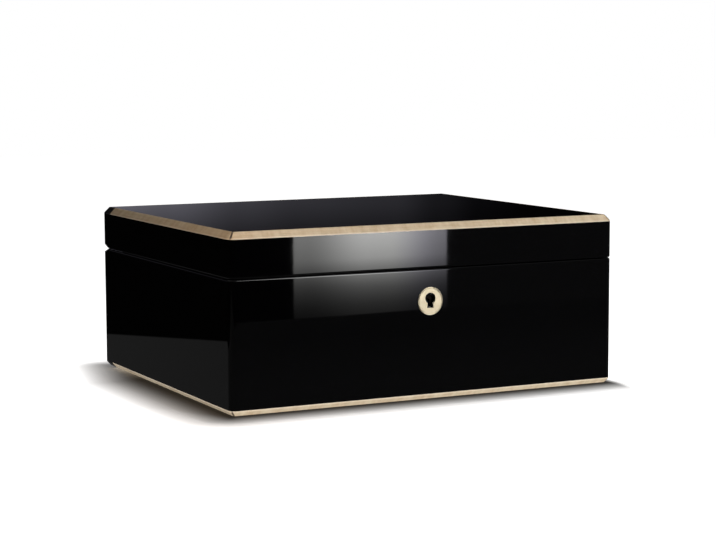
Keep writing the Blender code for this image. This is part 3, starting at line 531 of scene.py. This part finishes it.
def screws(places, direction, crossed):
    """Countersunk screws with a cross or a slot, their heads just under the plate's face."""
    forms = []
    for number, (x, y, level) in enumerate(places):
        profile = [
            (0, 0), (screw_head - 3 * screw_room, 0), (screw_head - screw_room, -screw_room),
            (screw_shank - screw_room, -screw_head_height), (screw_shank - screw_room, -screw_length),
            (0, -screw_length),
        ]
        form = turned(profile, 40)
        for quarter in range(2 if crossed else 1):
            reach = screw_head - 5 * screw_room if crossed else screw_head
            driver = block((-reach, -drive_width / 2, -drive_depth), (reach, drive_width / 2, overrun))
            spin_flat(driver, math.pi / 2 * quarter + last_turn * number)
            form = carve(form, driver)
        bmesh.ops.scale(form, vec=(1, 1, -direction), verts=form.verts)
        bmesh.ops.translate(form, vec=(x, y, level + direction * screw_room / 2), verts=form.verts)
        forms.append(form)
    return gathered(forms)


def axle(start, end, radius, segments):
    """A bar along the hinges' axis with its ends rounded."""
    bar = round_bar((start, *hinge_axis.yz), (end, *hinge_axis.yz), radius)
    ends = [edge for edge in bar.edges if abs(edge.verts[0].co.x - edge.verts[1].co.x) < tiny]
    round_off(bar, ends, barrel_ease, segments)
    return bar


knuckle_starts = {"body": (-hinge_length / 2, hinge_length / 2 - knuckle), "lid": (-knuckle / 2,)}
for half, direction, level, body in (("body", -1, rim, "box"), ("lid", 1, lid_low, "lid")):
    all_places = []
    for name in both_ends:
        left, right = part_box("hinge_" + half + "_leaf_" + name)
        middle = (left.x + right.x) / 2
        low, high = sorted((level, level + direction * leaf_thickness))
        leaf = slab((left.x, left.y, low), (right.x, leaf_land, high), barrel_ease, 2)
        for start in knuckle_starts[half]:
            web = block(
                (middle + start, leaf_land - knuckle_gap, low), (middle + start + knuckle, hinge_axis.y, high)
            )
            leaf = carve(leaf, web, "UNION")
            leaf = carve(leaf, axle(middle + start, middle + start + knuckle, barrel_radius, 2), "UNION")
        leaf = carve(leaf, round_bar(
            (left.x - overrun, *hinge_axis.yz), (right.x + overrun, *hinge_axis.yz), pin_radius + hairline
        ))
        places = [(middle + step * screw_pitch, hinge_screw_y, level) for step in (-1, 0, 1)]
        leaf = carve(leaf, countersinks(places, direction))
        node = "hinge_" + half + "_leaf_" + name
        finished(node + "_brass", leaf, brass, body, "brass", node)
        all_places += places
    finished("hinge_screws_" + half, screws(all_places, direction, True), brass, body, "brass")
for name in both_ends:
    low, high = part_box("hinge_pin_" + name)
    pin = axle(low.x, high.x, pin_radius, 3)
    finished("hinge_pin_" + name + "_brass", pin, brass, "box", "brass", "hinge_pin_" + name)

# Key plate. A disc of satin brass turned on a lathe, with a raised rim round a shallow field, pierced by the keyhole
# and pressed into the front until it stands half a millimetre proud.
plate_thickness = plate_high.y - plate_low.y
rim_width = 0.0013
field_depth = 0.0003
keyhole_head = 0.0049
keyhole_rise = 0.0024
keyhole_neck = 0.0025
keyhole_foot = 0.0031
keyhole_drop = 0.0061
mouth_ease = 0.00022


def half_round(outer, width, foot, rise, steps):
    """Points of radius and height over a half-round rim, from its outside inwards."""
    angles = [math.pi * step / steps for step in range(steps + 1)]
    return [(outer - width / 2 * (1 - math.cos(angle)), foot + rise * math.sin(angle)) for angle in angles]


def meets_wall(edge):
    """Whether an edge of a level face borders an upright one."""
    return any(abs(face.normal.z) < 0.5 for face in edge.link_faces)


def sheet(*corners):
    """A flat sheet between its corners."""
    bm = bmesh.new()
    bm.faces.new([bm.verts.new(corner) for corner in corners])
    return bm


def raised(outline, start, end):
    """A flat outline made solid between two heights."""
    pulled = bmesh.ops.extrude_face_region(outline, geom=outline.faces[:])["geom"]
    moved = [item for item in pulled if isinstance(item, bmesh.types.BMVert)]
    bmesh.ops.translate(outline, vec=(0, 0, end - start), verts=moved)
    bmesh.ops.translate(outline, vec=(0, 0, start), verts=outline.verts)
    return outline


plate = turned([
    (0, -field_depth), (plate_radius - rim_width - field_depth, -field_depth),
    *half_round(plate_radius, rim_width, -field_depth, field_depth, 8)[::-1],
    (plate_radius, -plate_thickness), (0, -plate_thickness),
], 160)
bore = bmesh.new()
bmesh.ops.create_circle(bore, segments=64, radius=keyhole_head, cap_ends=True)
bmesh.ops.translate(bore, vec=(0, keyhole_rise, 0), verts=bore.verts)
slot = sheet(
    (-keyhole_neck, 0, 0), (-keyhole_foot, -keyhole_drop, 0), (keyhole_foot, -keyhole_drop, 0), (keyhole_neck, 0, 0)
)
keyhole = carve(raised(bore, overrun, -overrun), raised(slot, overrun, -overrun), "UNION")
plate = carve(plate, keyhole)
mouth = [
    edge for edge in level_edges(plate, -field_depth)
    if max(v.co.xy.length for v in edge.verts) < plate_radius - 2 * rim_width and meets_wall(edge)
]
round_off(plate, mouth, mouth_ease, 3)
stand = Matrix.Translation((0, plate_low.y, key_place.z)) @ Matrix.Rotation(math.pi / 2, 4, "X")
bmesh.ops.transform(plate, matrix=stand, verts=plate.verts)

# Satin brass, turned: fine rings left by the lathe, drawn 0.25 mm apart so that they show, under a soft bloom.
ring_spacing = 0.00025
ring_depth = 0.00001
bloom_spacing = 0.0022
lathe_brass, tree, shader, place = new_material("lathe_turned_satin_brass", Metallic=1.0)
centred = add_node(tree, "Mapping", {"Vector": place, "Location": (0, -plate_low.y, -key_place.z)})
flat = add_node(tree, "VectorMath", {0: centred.outputs["Vector"], 1: (1, 0, 1)}, operation="MULTIPLY")
radius = add_node(tree, "VectorMath", {0: flat.outputs["Vector"]}, operation="LENGTH")
ring = add_node(tree, "Math", {0: radius.outputs["Value"], 1: 1 / ring_spacing}, operation="MULTIPLY")
rings = add_node(tree, "TexNoise", {"W": ring.outputs[0], "Scale": 1.0, "Detail": 2.0}, noise_dimensions="1D")
bloom = add_node(tree, "TexNoise", {"Vector": place, "Scale": 1 / bloom_spacing, "Detail": 4.0, "Roughness": 0.65})
vary(
    tree, shader, tones=(bloom, "#fbf0d6", "#e6d3aa"), rough=(bloom, 0.30, 0.46), relief=(rings, ring_depth, 0.5)
)
finished("key_plate", plate, lathe_brass, "box", "brass", "escutcheon", smooth=40)

# Lock. A nickel-plated steel box lock let into the front wall from inside: its top plate lies flush in the rim, a
# back plate closes it, and a steel cam turned by the key pushes a forked brass bolt sideways.
nickel, tree, shader, place = new_material("brushed_nickel_plate", Metallic=1.0)
brush_length = 0.030
brush_width = 0.0002
brush_depth = 0.00001
brushed = add_node(tree, "Mapping", {"Vector": place, "Scale": (1 / brush_length, 1 / brush_width, 1 / brush_width)})
lines = add_node(tree, "TexNoise", {"Vector": brushed.outputs["Vector"], "Scale": 1.0, "Detail": 4.0})
vary(
    tree, shader, tones=(lines, "#c9c6bf", "#9c9992"), rough=(lines, 0.20, 0.42), relief=(lines, brush_depth, 0.5)
)

# Blackened steel: the cam is dipped in hot oil, which leaves a dull black skin with a few browner patches.
oil_black, tree, shader, place = new_material("oil_blackened_steel", Metallic=1.0)
patch_spacing = 0.004
patches = add_node(tree, "TexNoise", {"Vector": place, "Scale": 1 / patch_spacing, "Detail": 4.0})
vary(tree, shader, tones=(patches, "#151413", "#2c2622"), rough=(patches, 0.45, 0.65))
for name, finish in (("lock_case", nickel), ("lock_cap", nickel), ("lock_cam", oil_black), ("lock_bolt", brass)):
    dressed(name, finish, metal_ease)
lock_screw_x = 0.033
lock_screw_y = (lock_low.y + link_high.y) / 2
places = [(sign * lock_screw_x, lock_screw_y, rim) for sign in (-1, 1)]
finished("lock_screws", screws(places, -1, False), nickel, "box", "lock_steel")

# Lid. The lacquered lid is made as the case is, from a top board glued over four rails, so one skin stands for all
# five. The edge that meets the case is rounded like the case's own, so the seam reads as a fine groove.
lid_edge_low, lid_edge_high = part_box("lid_edge_front")
lid_chamfer = lid_edge_high.z - lid_edge_low.z
lid_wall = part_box("lid_rail_front")[1].y - plan_low.y
board_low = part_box("lid_top")[0].z
lid = slab((*plan_low.xy, lid_low), (*plan_high.xy, lid_edge_low.z - hairline), corner_radius)
seam_edge(lid, lid_low, -1)
top_ease = 0.00025
field = core(lid_chamfer + hairline, board_low, lid_edge_high.z)
round_off(field, level_edges(field, lid_edge_high.z), top_ease, 2)
lid = carve(lid, field, "UNION")
for tool in (
    core(lid_wall, lid_low - overrun, board_low),
    block(
        (link_low.x - hairline, link_low.y - hairline, lid_low - overrun),
        (link_high.x + hairline, plan_low.y + lid_wall + overrun, link_high.z + hairline),
    ),
    hinge_rebates(lid_low, -overrun, leaf_thickness + hairline),
):
    lid = carve(lid, tool)
finished("lid_skin", lid, piano_lacquer, "lid", "black_lacquer", "lid_top", *["lid_rail_" + side for side in sides])

# Lid edge. Four wider sycamore strips fill a rebate round the top of the lid, and are mitred, planed and lacquered as
# those of the base are.
lay_strips("lid_edge_", lid_edge_high.z, lid_edge_low.z, "lid")

# Cedar inside the lid. A ceiling board and four strips that stop just above the lip, of the same planed and bare
# Spanish cedar as the lining of the case.
dressed("cedar_ceiling", cedar[0])
for side in sides:
    dressed("lid_lining_" + side, cedar[lies_along[side]])

# Link plate. The lock's brass half in the lid, with two eyes that drop through the lock's top plate; the bolt's
# prongs slide into them.
dressed("link_plate", brass, metal_ease)
places = [(sign * lock_screw_x, lock_screw_y, lid_low) for sign in (-1, 1)]
finished("link_screws", screws(places, 1, False), brass, "lid", "brass")

# Magnets. A nickel-plated steel disc let into the ceiling holds the magnet on the humidifier's back, so that the
# humidifier can be pulled off and filled.
disc_ease = 0.0002


def disc(low, high):
    """A flat disc that fills a box."""
    middle = (low + high) / 2
    return round_bar((*middle.xy, low.z), (*middle.xy, high.z), (high.x - low.x) / 2, 96)


for node, body in (("magnet_keeper", "lid"), ("humidifier_magnet", "humidifier")):
    low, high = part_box(node)
    form = disc(low, high)
    round_off(form, level_edges(form, low.z) + level_edges(form, high.z), disc_ease, 2)
    finished(node + "_disc", form, nickel, body, "lock_steel", node)

# Humidifier. A moulded black ABS case with a slotted front over a block of floral foam, which is soaked to keep the
# air moist. Its corners are rounded as the mould leaves them, and its faces have a fine spark-eroded grain.
moulded, tree, shader, place = new_material("moulded_black_abs", IOR=1.52)
spark_spacing = 0.0004
spark_depth = 0.00003
sparks = add_node(tree, "TexNoise", {"Vector": place, "Scale": 1 / spark_spacing, "Detail": 2.0})
vary(
    tree, shader, tones=(sparks, "#121213", "#1e1e20"), rough=(sparks, 0.38, 0.60), relief=(sparks, spark_depth, 0.6)
)
dressed("humidifier_case", moulded)

grille_low, grille_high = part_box("humidifier_grille")
slot_count = 12
slot_width = 0.0034
slot_margin = 0.0061
grille_corner = 0.0006
grille_ease = 0.0002
slot_pitch = (grille_high.x - grille_low.x + 2 * fit_gap) / (slot_count + 1)
grille_middle = (grille_low + grille_high) / 2
grille = slab(grille_low, grille_high, grille_corner, 3)
openings = []
for step in range(slot_count):
    x = grille_middle.x + (step - (slot_count - 1) / 2) * slot_pitch
    openings.append(slab(
        (x - slot_width / 2, grille_low.y + slot_margin, grille_low.z - overrun),
        (x + slot_width / 2, grille_high.y - slot_margin, grille_high.z + overrun), slot_width / 2 - tiny, 6,
    ))
grille = carve(grille, gathered(openings))
round_off(grille, [
    edge for edge in level_edges(grille, grille_low.z) if meets_wall(edge)
], grille_ease, 2)
finished("humidifier_front", grille, moulded, "humidifier", "black_plastic", "humidifier_grille")

# Floral foam: brittle green phenolic foam with open cells, drawn 0.6 mm across so that they show through the slots.
foam, tree, shader, place = new_material("phenolic_floral_foam", Roughness=0.95)
cell_spacing = 0.0006
cell_depth = 0.0003
damp_spacing = 0.008
cells = add_node(tree, "TexVoronoi", {"Vector": place, "Scale": 1 / cell_spacing})
damp = add_node(tree, "TexNoise", {"Vector": place, "Scale": 1 / damp_spacing, "Detail": 3.0})
green = add_node(tree, "Mix", {
    0: damp.outputs["Fac"], 6: colour("#5d7a4a"), 7: colour("#7d9765"),
}, data_type="RGBA")
# Each cell darkens towards its middle: painted shade in the foam's open cells.
painted_cell_shade = add_node(tree, "MapRange", {"Value": cells.outputs["Distance"], "From Max": 0.5, "To Min": 0.6, "To Max": 0.0})
green_with_cell_shade = add_node(tree, "Mix", {0: painted_cell_shade.outputs[0], 6: green.outputs[2], 7: colour("#2c3b22")}, data_type="RGBA")
tree.links.new(green_with_cell_shade.outputs[2], shader.inputs["Base Color"])
vary(tree, shader, relief=(cells, cell_depth, 1.0))
dressed("humidifier_foam", foam)

# Hygrometer. A spun brass case on the lid's ceiling with a printed card, a blued steel needle on an arbor and a
# glass, which faces down so that it can be read when the lid is open.
gauge_low, gauge_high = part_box("hygrometer_case")
gauge_place = (gauge_low + gauge_high) / 2
gauge_radius = (gauge_high.x - gauge_low.x) / 2
gauge_wall = 0.0014
bezel_width = 0.0030
bezel_rise = 0.00117
shell_ease = 0.0003
gauge_top = gauge_high.z
shell = turned([
    (0, gauge_top), (gauge_radius - shell_ease, gauge_top), (gauge_radius, gauge_top - shell_ease),
    *half_round(gauge_radius, bezel_width, gauge_low.z + bezel_rise, -bezel_rise, 10),
    (gauge_radius - bezel_width, gauge_low.z + gauge_wall), (gauge_radius - gauge_wall, gauge_low.z + gauge_wall),
    (gauge_radius - gauge_wall, gauge_top - gauge_wall), (0, gauge_top - gauge_wall),
], 128)
bmesh.ops.translate(shell, vec=(gauge_place.x, 0, 0), verts=shell.verts)
finished("hygrometer_shell", shell, brass, "lid", "brass", "hygrometer_case", smooth=40)

card_low, card_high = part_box("hygrometer_dial")
paper, tree, shader, place = new_material("matt_dial_card", Roughness=0.7)
pulp_spacing = 0.0007
pulp_depth = 0.00002
pulp = add_node(tree, "TexNoise", {"Vector": place, "Scale": 1 / pulp_spacing, "Detail": 4.0})
vary(tree, shader, tones=(pulp, "#f1ece0", "#e2dac8"), relief=(pulp, pulp_depth, 1.0))
finished("hygrometer_card", disc(card_low, card_high), paper, "lid", "dial_card", "hygrometer_dial")

ink, tree, shader, place = new_material("screen_printed_ink")
bleed_spacing = 0.0005
bleed = add_node(tree, "TexNoise", {"Vector": place, "Scale": 1 / bleed_spacing, "Detail": 3.0})
vary(tree, shader, tones=(bleed, "#141414", "#2b2a28"), rough=(bleed, 0.35, 0.55))
scale_sweep = math.radians(135)
ink_thickness = 0.00006
scale_radius = 0.0195
figure_radius = 0.0138
figure_size = 0.0034
percent_size = 0.0042
percent_drop = 0.0105
long_mark = (0.0028, 0.00028)
short_mark = (0.0016, 0.00014)
marks = []
for value in range(0, 101, 2):
    angle = scale_sweep * (value / 50 - 1)
    length, width = short_mark if value % 10 else long_mark
    mark = block((-width, scale_radius - length, 0), (width, scale_radius, ink_thickness))
    spin_flat(mark, -angle)
    marks.append(mark)
for words, size, x, y in [
    (str(value), figure_size, figure_radius * math.sin(scale_sweep * (value / 50 - 1)),
     figure_radius * math.cos(scale_sweep * (value / 50 - 1))) for value in range(0, 101, 20)
] + [("%", percent_size, 0, -percent_drop)]:
    lettering = bpy.data.curves.new("figures", "FONT")
    lettering.body = words
    lettering.size = size
    lettering.align_x = "CENTER"
    lettering.align_y = "CENTER"
    lettering.extrude = ink_thickness / 2
    holder = bpy.data.objects.new("figures", lettering)
    bpy.context.scene.collection.objects.link(holder)
    figures = bmesh.new()
    depsgraph = bpy.context.evaluated_depsgraph_get()
    figures.from_mesh(bpy.data.meshes.new_from_object(holder.evaluated_get(depsgraph)))
    bpy.data.objects.remove(holder)
    bmesh.ops.remove_doubles(figures, verts=figures.verts, dist=tiny / 10)
    bmesh.ops.translate(figures, vec=(x, y, ink_thickness / 2), verts=figures.verts)
    marks.append(figures)
scale_print = gathered(marks)
face_down = Matrix.Translation((gauge_place.x, 0, card_low.z)) @ Matrix.Rotation(math.pi, 4, "X")
bmesh.ops.transform(scale_print, matrix=face_down, verts=scale_print.verts)
finished("hygrometer_scale", scale_print, ink, "lid", "dial_card")

glass, tree, shader, place = new_material("float_glass", Transmission_Weight=1.0, IOR=1.52)
smear_spacing = 0.006
smears = add_node(tree, "TexNoise", {"Vector": place, "Scale": 1 / smear_spacing, "Detail": 5.0})
vary(tree, shader, tones=(smears, "#ffffff", "#f7fbf9"), rough=(smears, 0.0, 0.04))
pane = disc(*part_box("hygrometer_glass"))
finished("hygrometer_window", pane, glass, "lid", "gauge_glass", "hygrometer_glass")

blued, tree, shader, place = new_material("heat_blued_steel", Metallic=1.0, Roughness=0.22)
temper_spacing = 0.004
temper = add_node(tree, "TexNoise", {"Vector": place, "Scale": 1 / temper_spacing, "Detail": 3.0})
vary(tree, shader, tones=(temper, "#1c2f6b", "#35509a"))
needle_low, needle_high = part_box("hygrometer_needle")
needle_reading = math.radians(54)
needle_reach = 0.017
needle_tail = 0.006
blade_thickness = 0.0005
half_blade = ((0.0007, 0), (0.0004, -0.003), (0.0012, -0.0045), (0.0007, -needle_tail))
hub_radius = 0.0016
hub_height = 0.0010
hub_slope = 0.0004
blade = raised(sheet(
    (0, needle_reach, 0), *[(-x, y, 0) for x, y in half_blade], *[(x, y, 0) for x, y in half_blade[::-1]]
), 0, blade_thickness)
spin_flat(blade, -needle_reading)
hub = turned([
    (0, 0), (hub_radius, 0), (hub_radius, hub_height), (hub_radius * 0.5, hub_height + hub_slope),
    (hub_radius * 0.5, needle_high.z - needle_low.z), (0, needle_high.z - needle_low.z),
], 48)
needle = carve(blade, hub, "UNION")
face_down = Matrix.Translation((gauge_place.x, 0, needle_high.z)) @ Matrix.Rotation(math.pi, 4, "X")
bmesh.ops.transform(needle, matrix=face_down, verts=needle.verts)
finished("hygrometer_pointer", needle, blued, "needle", "needle_steel", "hygrometer_needle")

# Tray. A cedar frame finger-jointed at its corners, with hollows for the hands in its ends and a slotted floor, that
# lifts off its ledges. The divider slides along it.
for side in sides:
    dressed("tray_" + side, cedar[lies_along[side]], sawn_ease)
dressed("tray_floor", cedar[0])
dressed("tray_divider", cedar[1], hand_ease, 3)

# Lower divider. A cedar board that slides along the floor under the tray, its edges rounded over by hand as those
# of the tray's divider are.
dressed("lower_divider", cedar[1], hand_ease, 3)

# Studio. A pale floor, a soft box in front and one overhead. What the camera sees round the object is white. The
# photographed lacquer mirrored a dark room and a grey table, so reflections see a dim share of that background.
scene = bpy.context.scene
scene.view_settings.view_transform = "Standard"


def staged(name, form, material):
    """Makes a form part of the studio."""
    mesh = bpy.data.meshes.new(name)
    form.to_mesh(mesh)
    form.free()
    mesh.materials.append(material)
    made = bpy.data.objects.new(name, mesh)
    scene.collection.objects.link(made)
    return made


floor_front = -0.70
floor_reach = 4.0
floor_form = sheet(
    (-floor_reach, floor_front, 0), (floor_reach, floor_front, 0), (floor_reach, floor_reach, 0),
    (-floor_reach, floor_reach, 0),
)
floor_material, tree, shader, place = new_material("matt_white_paper", Roughness=1.0, Specular_IOR_Level=0.0)
staged("floor", floor_form, floor_material)
seen = add_node(tree, "LightPath")
# Mirrored, the floor is a grey table: paler behind, up to its far edge, and darker in front.
table_line = add_node(tree, "VectorMath", {0: place, 1: (-1.2, 1, 0)}, operation="DOT_PRODUCT")
table = add_node(tree, "MapRange", {
    "Value": table_line.outputs["Value"], "From Min": 0.668, "From Max": 0.684, "To Min": 0.054, "To Max": 0.002,
})
floor_y = add_node(tree, "SeparateXYZ", {0: place}).outputs["Y"]
pool = add_node(tree, "MapRange", {
    "Value": floor_y, "From Min": -0.55, "From Max": -0.25, "To Min": 0.75, "To Max": 1.1,
})
grey = add_node(tree, "Math", {0: table.outputs[0], 1: pool.outputs[0]}, operation="MULTIPLY")
mirrored = add_node(
    tree, "Math", {0: seen.outputs["Is Glossy Ray"], 1: seen.outputs["Is Transmission Ray"]}, operation="MAXIMUM"
)
in_mirrors = add_node(tree, "Math", {0: mirrored.outputs[0], 1: grey.outputs[0]}, operation="MULTIPLY")
spread = add_node(tree, "VectorMath", {0: place}, operation="ABSOLUTE")
beyond = add_node(tree, "VectorMath", {0: spread.outputs[0], 1: (plan_high.x, plan_high.y, 0)}, operation="SUBTRACT")
outside = add_node(tree, "VectorMath", {0: beyond.outputs[0], 1: (0, 0, 0)}, operation="MAXIMUM")
away = add_node(tree, "VectorMath", {0: outside.outputs[0]}, operation="LENGTH").outputs["Value"]
# The painted shadow is shorter past the right-hand side, and a little shorter towards the back.
for axis, edge, rate in (("X", plan_high.x, 3.0), ("Y", 0.06, 0.25)):
    along = add_node(tree, "SeparateXYZ", {0: place}).outputs[axis]
    sooner = add_node(tree, "Math", {0: along, 1: rate, 2: -rate * edge}, operation="MULTIPLY_ADD", use_clamp=True)
    away = add_node(tree, "Math", {0: away, 1: sooner.outputs[0]}, operation="ADD").outputs[0]
# Within 10 cm of the box the floor glows for diffuse rays, fading out by 30 cm: a hidden light that brightens the base
# strips and the underside.
near = add_node(tree, "MapRange", {"Value": away, "From Min": 0.10, "From Max": 0.30, "To Min": 1.15, "To Max": 0.0})
floor_glow_on_box = add_node(tree, "Math", {0: seen.outputs["Is Diffuse Ray"], 1: near.outputs[0]}, operation="MULTIPLY")
# The floor's white glow to the camera fades out over the last 55 mm towards the box, so the shade there is set by
# distance from it.
out_of_shade = add_node(tree, "MapRange", {"Value": away, "From Min": 0.0, "From Max": 0.055})
bleached = add_node(tree, "Math", {0: out_of_shade.outputs[0], 1: 2.0}, operation="POWER")
to_camera = add_node(tree, "Math", {0: seen.outputs["Is Camera Ray"], 1: bleached.outputs[0]}, operation="MULTIPLY")
shine = add_node(tree, "Math", {0: to_camera.outputs[0], 1: in_mirrors.outputs[0]}, operation="ADD")
shine = add_node(tree, "Math", {0: shine.outputs[0], 1: floor_glow_on_box.outputs[0]}, operation="ADD")
# Within 33 mm of the box the floor's colour darkens toward black: a painted contact shadow.
painted_contact_shadow = add_node(tree, "MapRange", {"Value": away, "From Min": 0.0, "From Max": 0.033, "To Min": 0.08})
tone = add_node(tree, "Mix", {0: painted_contact_shadow.outputs[0], 6: colour("#000000"), 7: colour("#e9e9e9")}, data_type="RGBA")
tone = add_node(tree, "Mix", {0: mirrored.outputs[0], 6: tone.outputs[2], 7: colour("#000000")}, data_type="RGBA")
tree.links.new(tone.outputs[2], shader.inputs["Base Color"])
shader.inputs["Emission Color"].default_value = colour("#ffffff")
tree.links.new(shine.outputs[0], shader.inputs["Emission Strength"])

# The room: white to the camera, an even grey as light, and in reflections dark, with a bluish glow low down at the
# back left, a faint one at the front right, a little light overhead, and a wide pale ceiling behind.
def grade(node, interpolation, steps, tint=(1, 1, 1)):
    """Sets the levels along a colour ramp."""
    ramp = node.color_ramp
    ramp.interpolation = interpolation
    for position, level in steps:
        ramp.elements.new(position).color = (*[level * share for share in tint], 1)
    ramp.elements.remove(ramp.elements[0])
    ramp.elements.remove(ramp.elements[-1])


world = bpy.data.worlds.new("studio")
scene.world = world
world.use_nodes = True
tree = world.node_tree
background = tree.nodes["Background"]
seen = add_node(tree, "LightPath")
direction = add_node(tree, "TexCoord").outputs["Generated"]
height = add_node(tree, "SeparateXYZ", {0: direction})
view_turn = math.radians(26.4)
leftward = (-math.cos(view_turn), math.sin(view_turn), 0)
frontward = (math.cos(view_turn), math.sin(view_turn), 0)
across = add_node(tree, "VectorMath", {0: direction, 1: leftward}, operation="DOT_PRODUCT")
spread = add_node(tree, "MapRange", {"Value": across.outputs["Value"], "From Min": -0.15, "From Max": 0.15})
wall_glow = add_node(tree, "ValToRGB", {0: spread.outputs[0]})
grade(wall_glow, "EASE", (
    (0.20, 0.0006), (0.29, 0.0025), (0.36, 0.008), (0.44, 0.021), (0.60, 0.028), (0.70, 0.042), (0.82, 0.088),
    (0.98, 0.14),
), (1, 0.98, 1.16))
low_glow = add_node(tree, "MapRange", {
    "Value": height.outputs["Z"], "From Min": 0.074, "From Max": 0.110, "To Min": 1.55, "To Max": 0.04,
})
far_left = add_node(tree, "MapRange", {
    "Value": across.outputs["Value"], "From Min": 0.30, "From Max": 0.60, "To Min": 1.0, "To Max": 0.35,
})
low_glow = add_node(tree, "Math", {0: low_glow.outputs[0], 1: far_left.outputs[0]}, operation="MULTIPLY")
back_glow = add_node(tree, "VectorMath", {
    0: wall_glow.outputs["Color"], "Scale": low_glow.outputs[0],
}, operation="SCALE")
front_across = add_node(tree, "VectorMath", {0: direction, 1: frontward}, operation="DOT_PRODUCT")
room_glow = add_node(tree, "MapRange", {
    "Value": front_across.outputs["Value"], "From Min": -0.02, "From Max": 0.05, "To Min": 0.001, "To Max": 0.05,
}, interpolation_type="SMOOTHSTEP")
in_front = add_node(tree, "MapRange", {
    "Value": height.outputs["Y"], "From Min": 0.4, "From Max": -0.4,
}, interpolation_type="SMOOTHSTEP")
around = add_node(tree, "Mix", {
    0: in_front.outputs[0], 6: back_glow.outputs[0], 7: room_glow.outputs[0],
}, data_type="RGBA")
overhead = add_node(tree, "MapRange", {
    "Value": height.outputs["Z"], "From Min": 0.60, "From Max": 0.97, "To Min": 0.0, "To Max": 0.30,
}, interpolation_type="SMOOTHSTEP")
behind = add_node(tree, "Math", {0: 1.0, 1: in_front.outputs[0]}, operation="SUBTRACT")
ceiling = add_node(tree, "MapRange", {
    "Value": height.outputs["Z"], "From Min": 0.42, "From Max": 0.58, "To Min": 0.0, "To Max": 0.26,
}, interpolation_type="SMOOTHSTEP")
above = add_node(tree, "Math", {
    0: behind.outputs[0], 1: ceiling.outputs[0], 2: overhead.outputs[0],
}, operation="MULTIPLY_ADD")
reflected = add_node(tree, "Mix", {
    0: 1.0, 6: around.outputs[2], 7: above.outputs[0],
}, data_type="RGBA", blend_type="ADD")
lit = add_node(tree, "Mix", {
    0: seen.outputs["Is Glossy Ray"], 6: colour("#454545"), 7: reflected.outputs[2],
}, data_type="RGBA")
shown = add_node(tree, "Mix", {
    0: seen.outputs["Is Camera Ray"], 6: lit.outputs[2], 7: colour("#ffffff"),
}, data_type="RGBA")
tree.links.new(shown.outputs[2], background.inputs["Color"])

# Soft box in front: the long highlight down the front of the case is its reflection. It is brightest in its middle,
# cooler at its right side, and fades out towards its lower end.
box_y = -1.5
box_left, box_right = 0.4785, 0.7605
box_foot, box_head = -0.134, 1.30
box_middle = 0.631
box_power = 11.0
panel_form = sheet(
    (box_left, box_y, box_foot), (box_left, box_y, box_head), (box_right, box_y, box_head),
    (box_right, box_y, box_foot),
)
panel_material = bpy.data.materials.new("soft_box_cloth")
staged("soft_box", panel_form, panel_material).visible_camera = False
panel_material.use_nodes = True
tree = panel_material.node_tree
tree.nodes.clear()
place = add_node(tree, "SeparateXYZ", {0: add_node(tree, "TexCoord").outputs["Object"]})
climb = add_node(tree, "MapRange", {"Value": place.outputs["Z"], "From Min": box_foot, "From Max": 0.02})
fade = add_node(tree, "ValToRGB", {0: climb.outputs[0]})
grade(fade, "B_SPLINE", ((0.0, 0.010), (0.20, 0.036), (0.36, 0.11), (0.50, 0.26), (0.66, 0.63), (1.0, 1.0)))
off_middle = add_node(tree, "Math", {0: place.outputs["X"], 1: box_middle}, operation="SUBTRACT")
off_middle = add_node(tree, "Math", {0: off_middle.outputs[0]}, operation="ABSOLUTE")
dim = add_node(tree, "MapRange", {
    "Value": off_middle.outputs[0], "From Min": 0.015, "From Max": 0.13, "To Min": 1.0, "To Max": 0.40,
}, interpolation_type="SMOOTHSTEP")
glow = add_node(tree, "Math", {0: fade.outputs["Color"], 1: dim.outputs[0]}, operation="MULTIPLY")
power = add_node(tree, "Math", {0: glow.outputs[0], 1: box_power}, operation="MULTIPLY")
cool = add_node(tree, "MapRange", {"Value": place.outputs["X"], "From Min": 0.66, "From Max": 0.72})
cloth = add_node(tree, "Mix", {0: cool.outputs[0], 6: colour("#fffffd"), 7: colour("#f6f4ff")}, data_type="RGBA")
emission = add_node(tree, "Emission", {"Color": cloth.outputs[2], "Strength": power.outputs[0]})
add_node(tree, "OutputMaterial", {"Surface": emission.outputs[0]})

# Lamps. A large soft box hangs overhead, and a small warm lamp near the front left corner lifts the left-hand edges.
# Neither shows in reflections.
for name, size, watts, tint, spot, aim in (
    ("overhead_soft_box", 0.9, 8.6, (1, 1, 1), (0.40, -0.25, 1.05), (0, 0, -1)),
    ("corner_fill", 0.12, 0.36, (1.0, 0.68, 0.42), (-0.40, -0.37, 0.31), (0.20, 0.21, -0.16)),
):
    lamp = bpy.data.lights.new(name, "AREA")
    lamp.size, lamp.energy, lamp.color = size, watts, tint
    hung = bpy.data.objects.new(name, lamp)
    scene.collection.objects.link(hung)
    hung.location = spot
    hung.rotation_euler = Vector(aim).to_track_quat("-Z", "Y").to_euler()
    hung.visible_camera = hung.visible_glossy = False

# Camera. It stands where the photograph's camera stood, at the front left and a little above the lid, and looks
# through a long lens.
camera_data = bpy.data.cameras.new("camera")
camera_data.lens = 97.839
camera_data.sensor_width = 36
camera = bpy.data.objects.new("camera", camera_data)
scene.collection.objects.link(camera)
camera_place = (-0.80939, -1.64789, 0.30281)
yaw, pitch, roll = 26.4053, 6.3258, -0.2315
camera.matrix_world = Matrix.Translation(camera_place)
for angle, axis in ((-yaw, "Z"), (90 - pitch, "X"), (roll, "Z")):
    camera.matrix_world = camera.matrix_world @ Matrix.Rotation(math.radians(angle), 4, axis)
scene.camera = camera
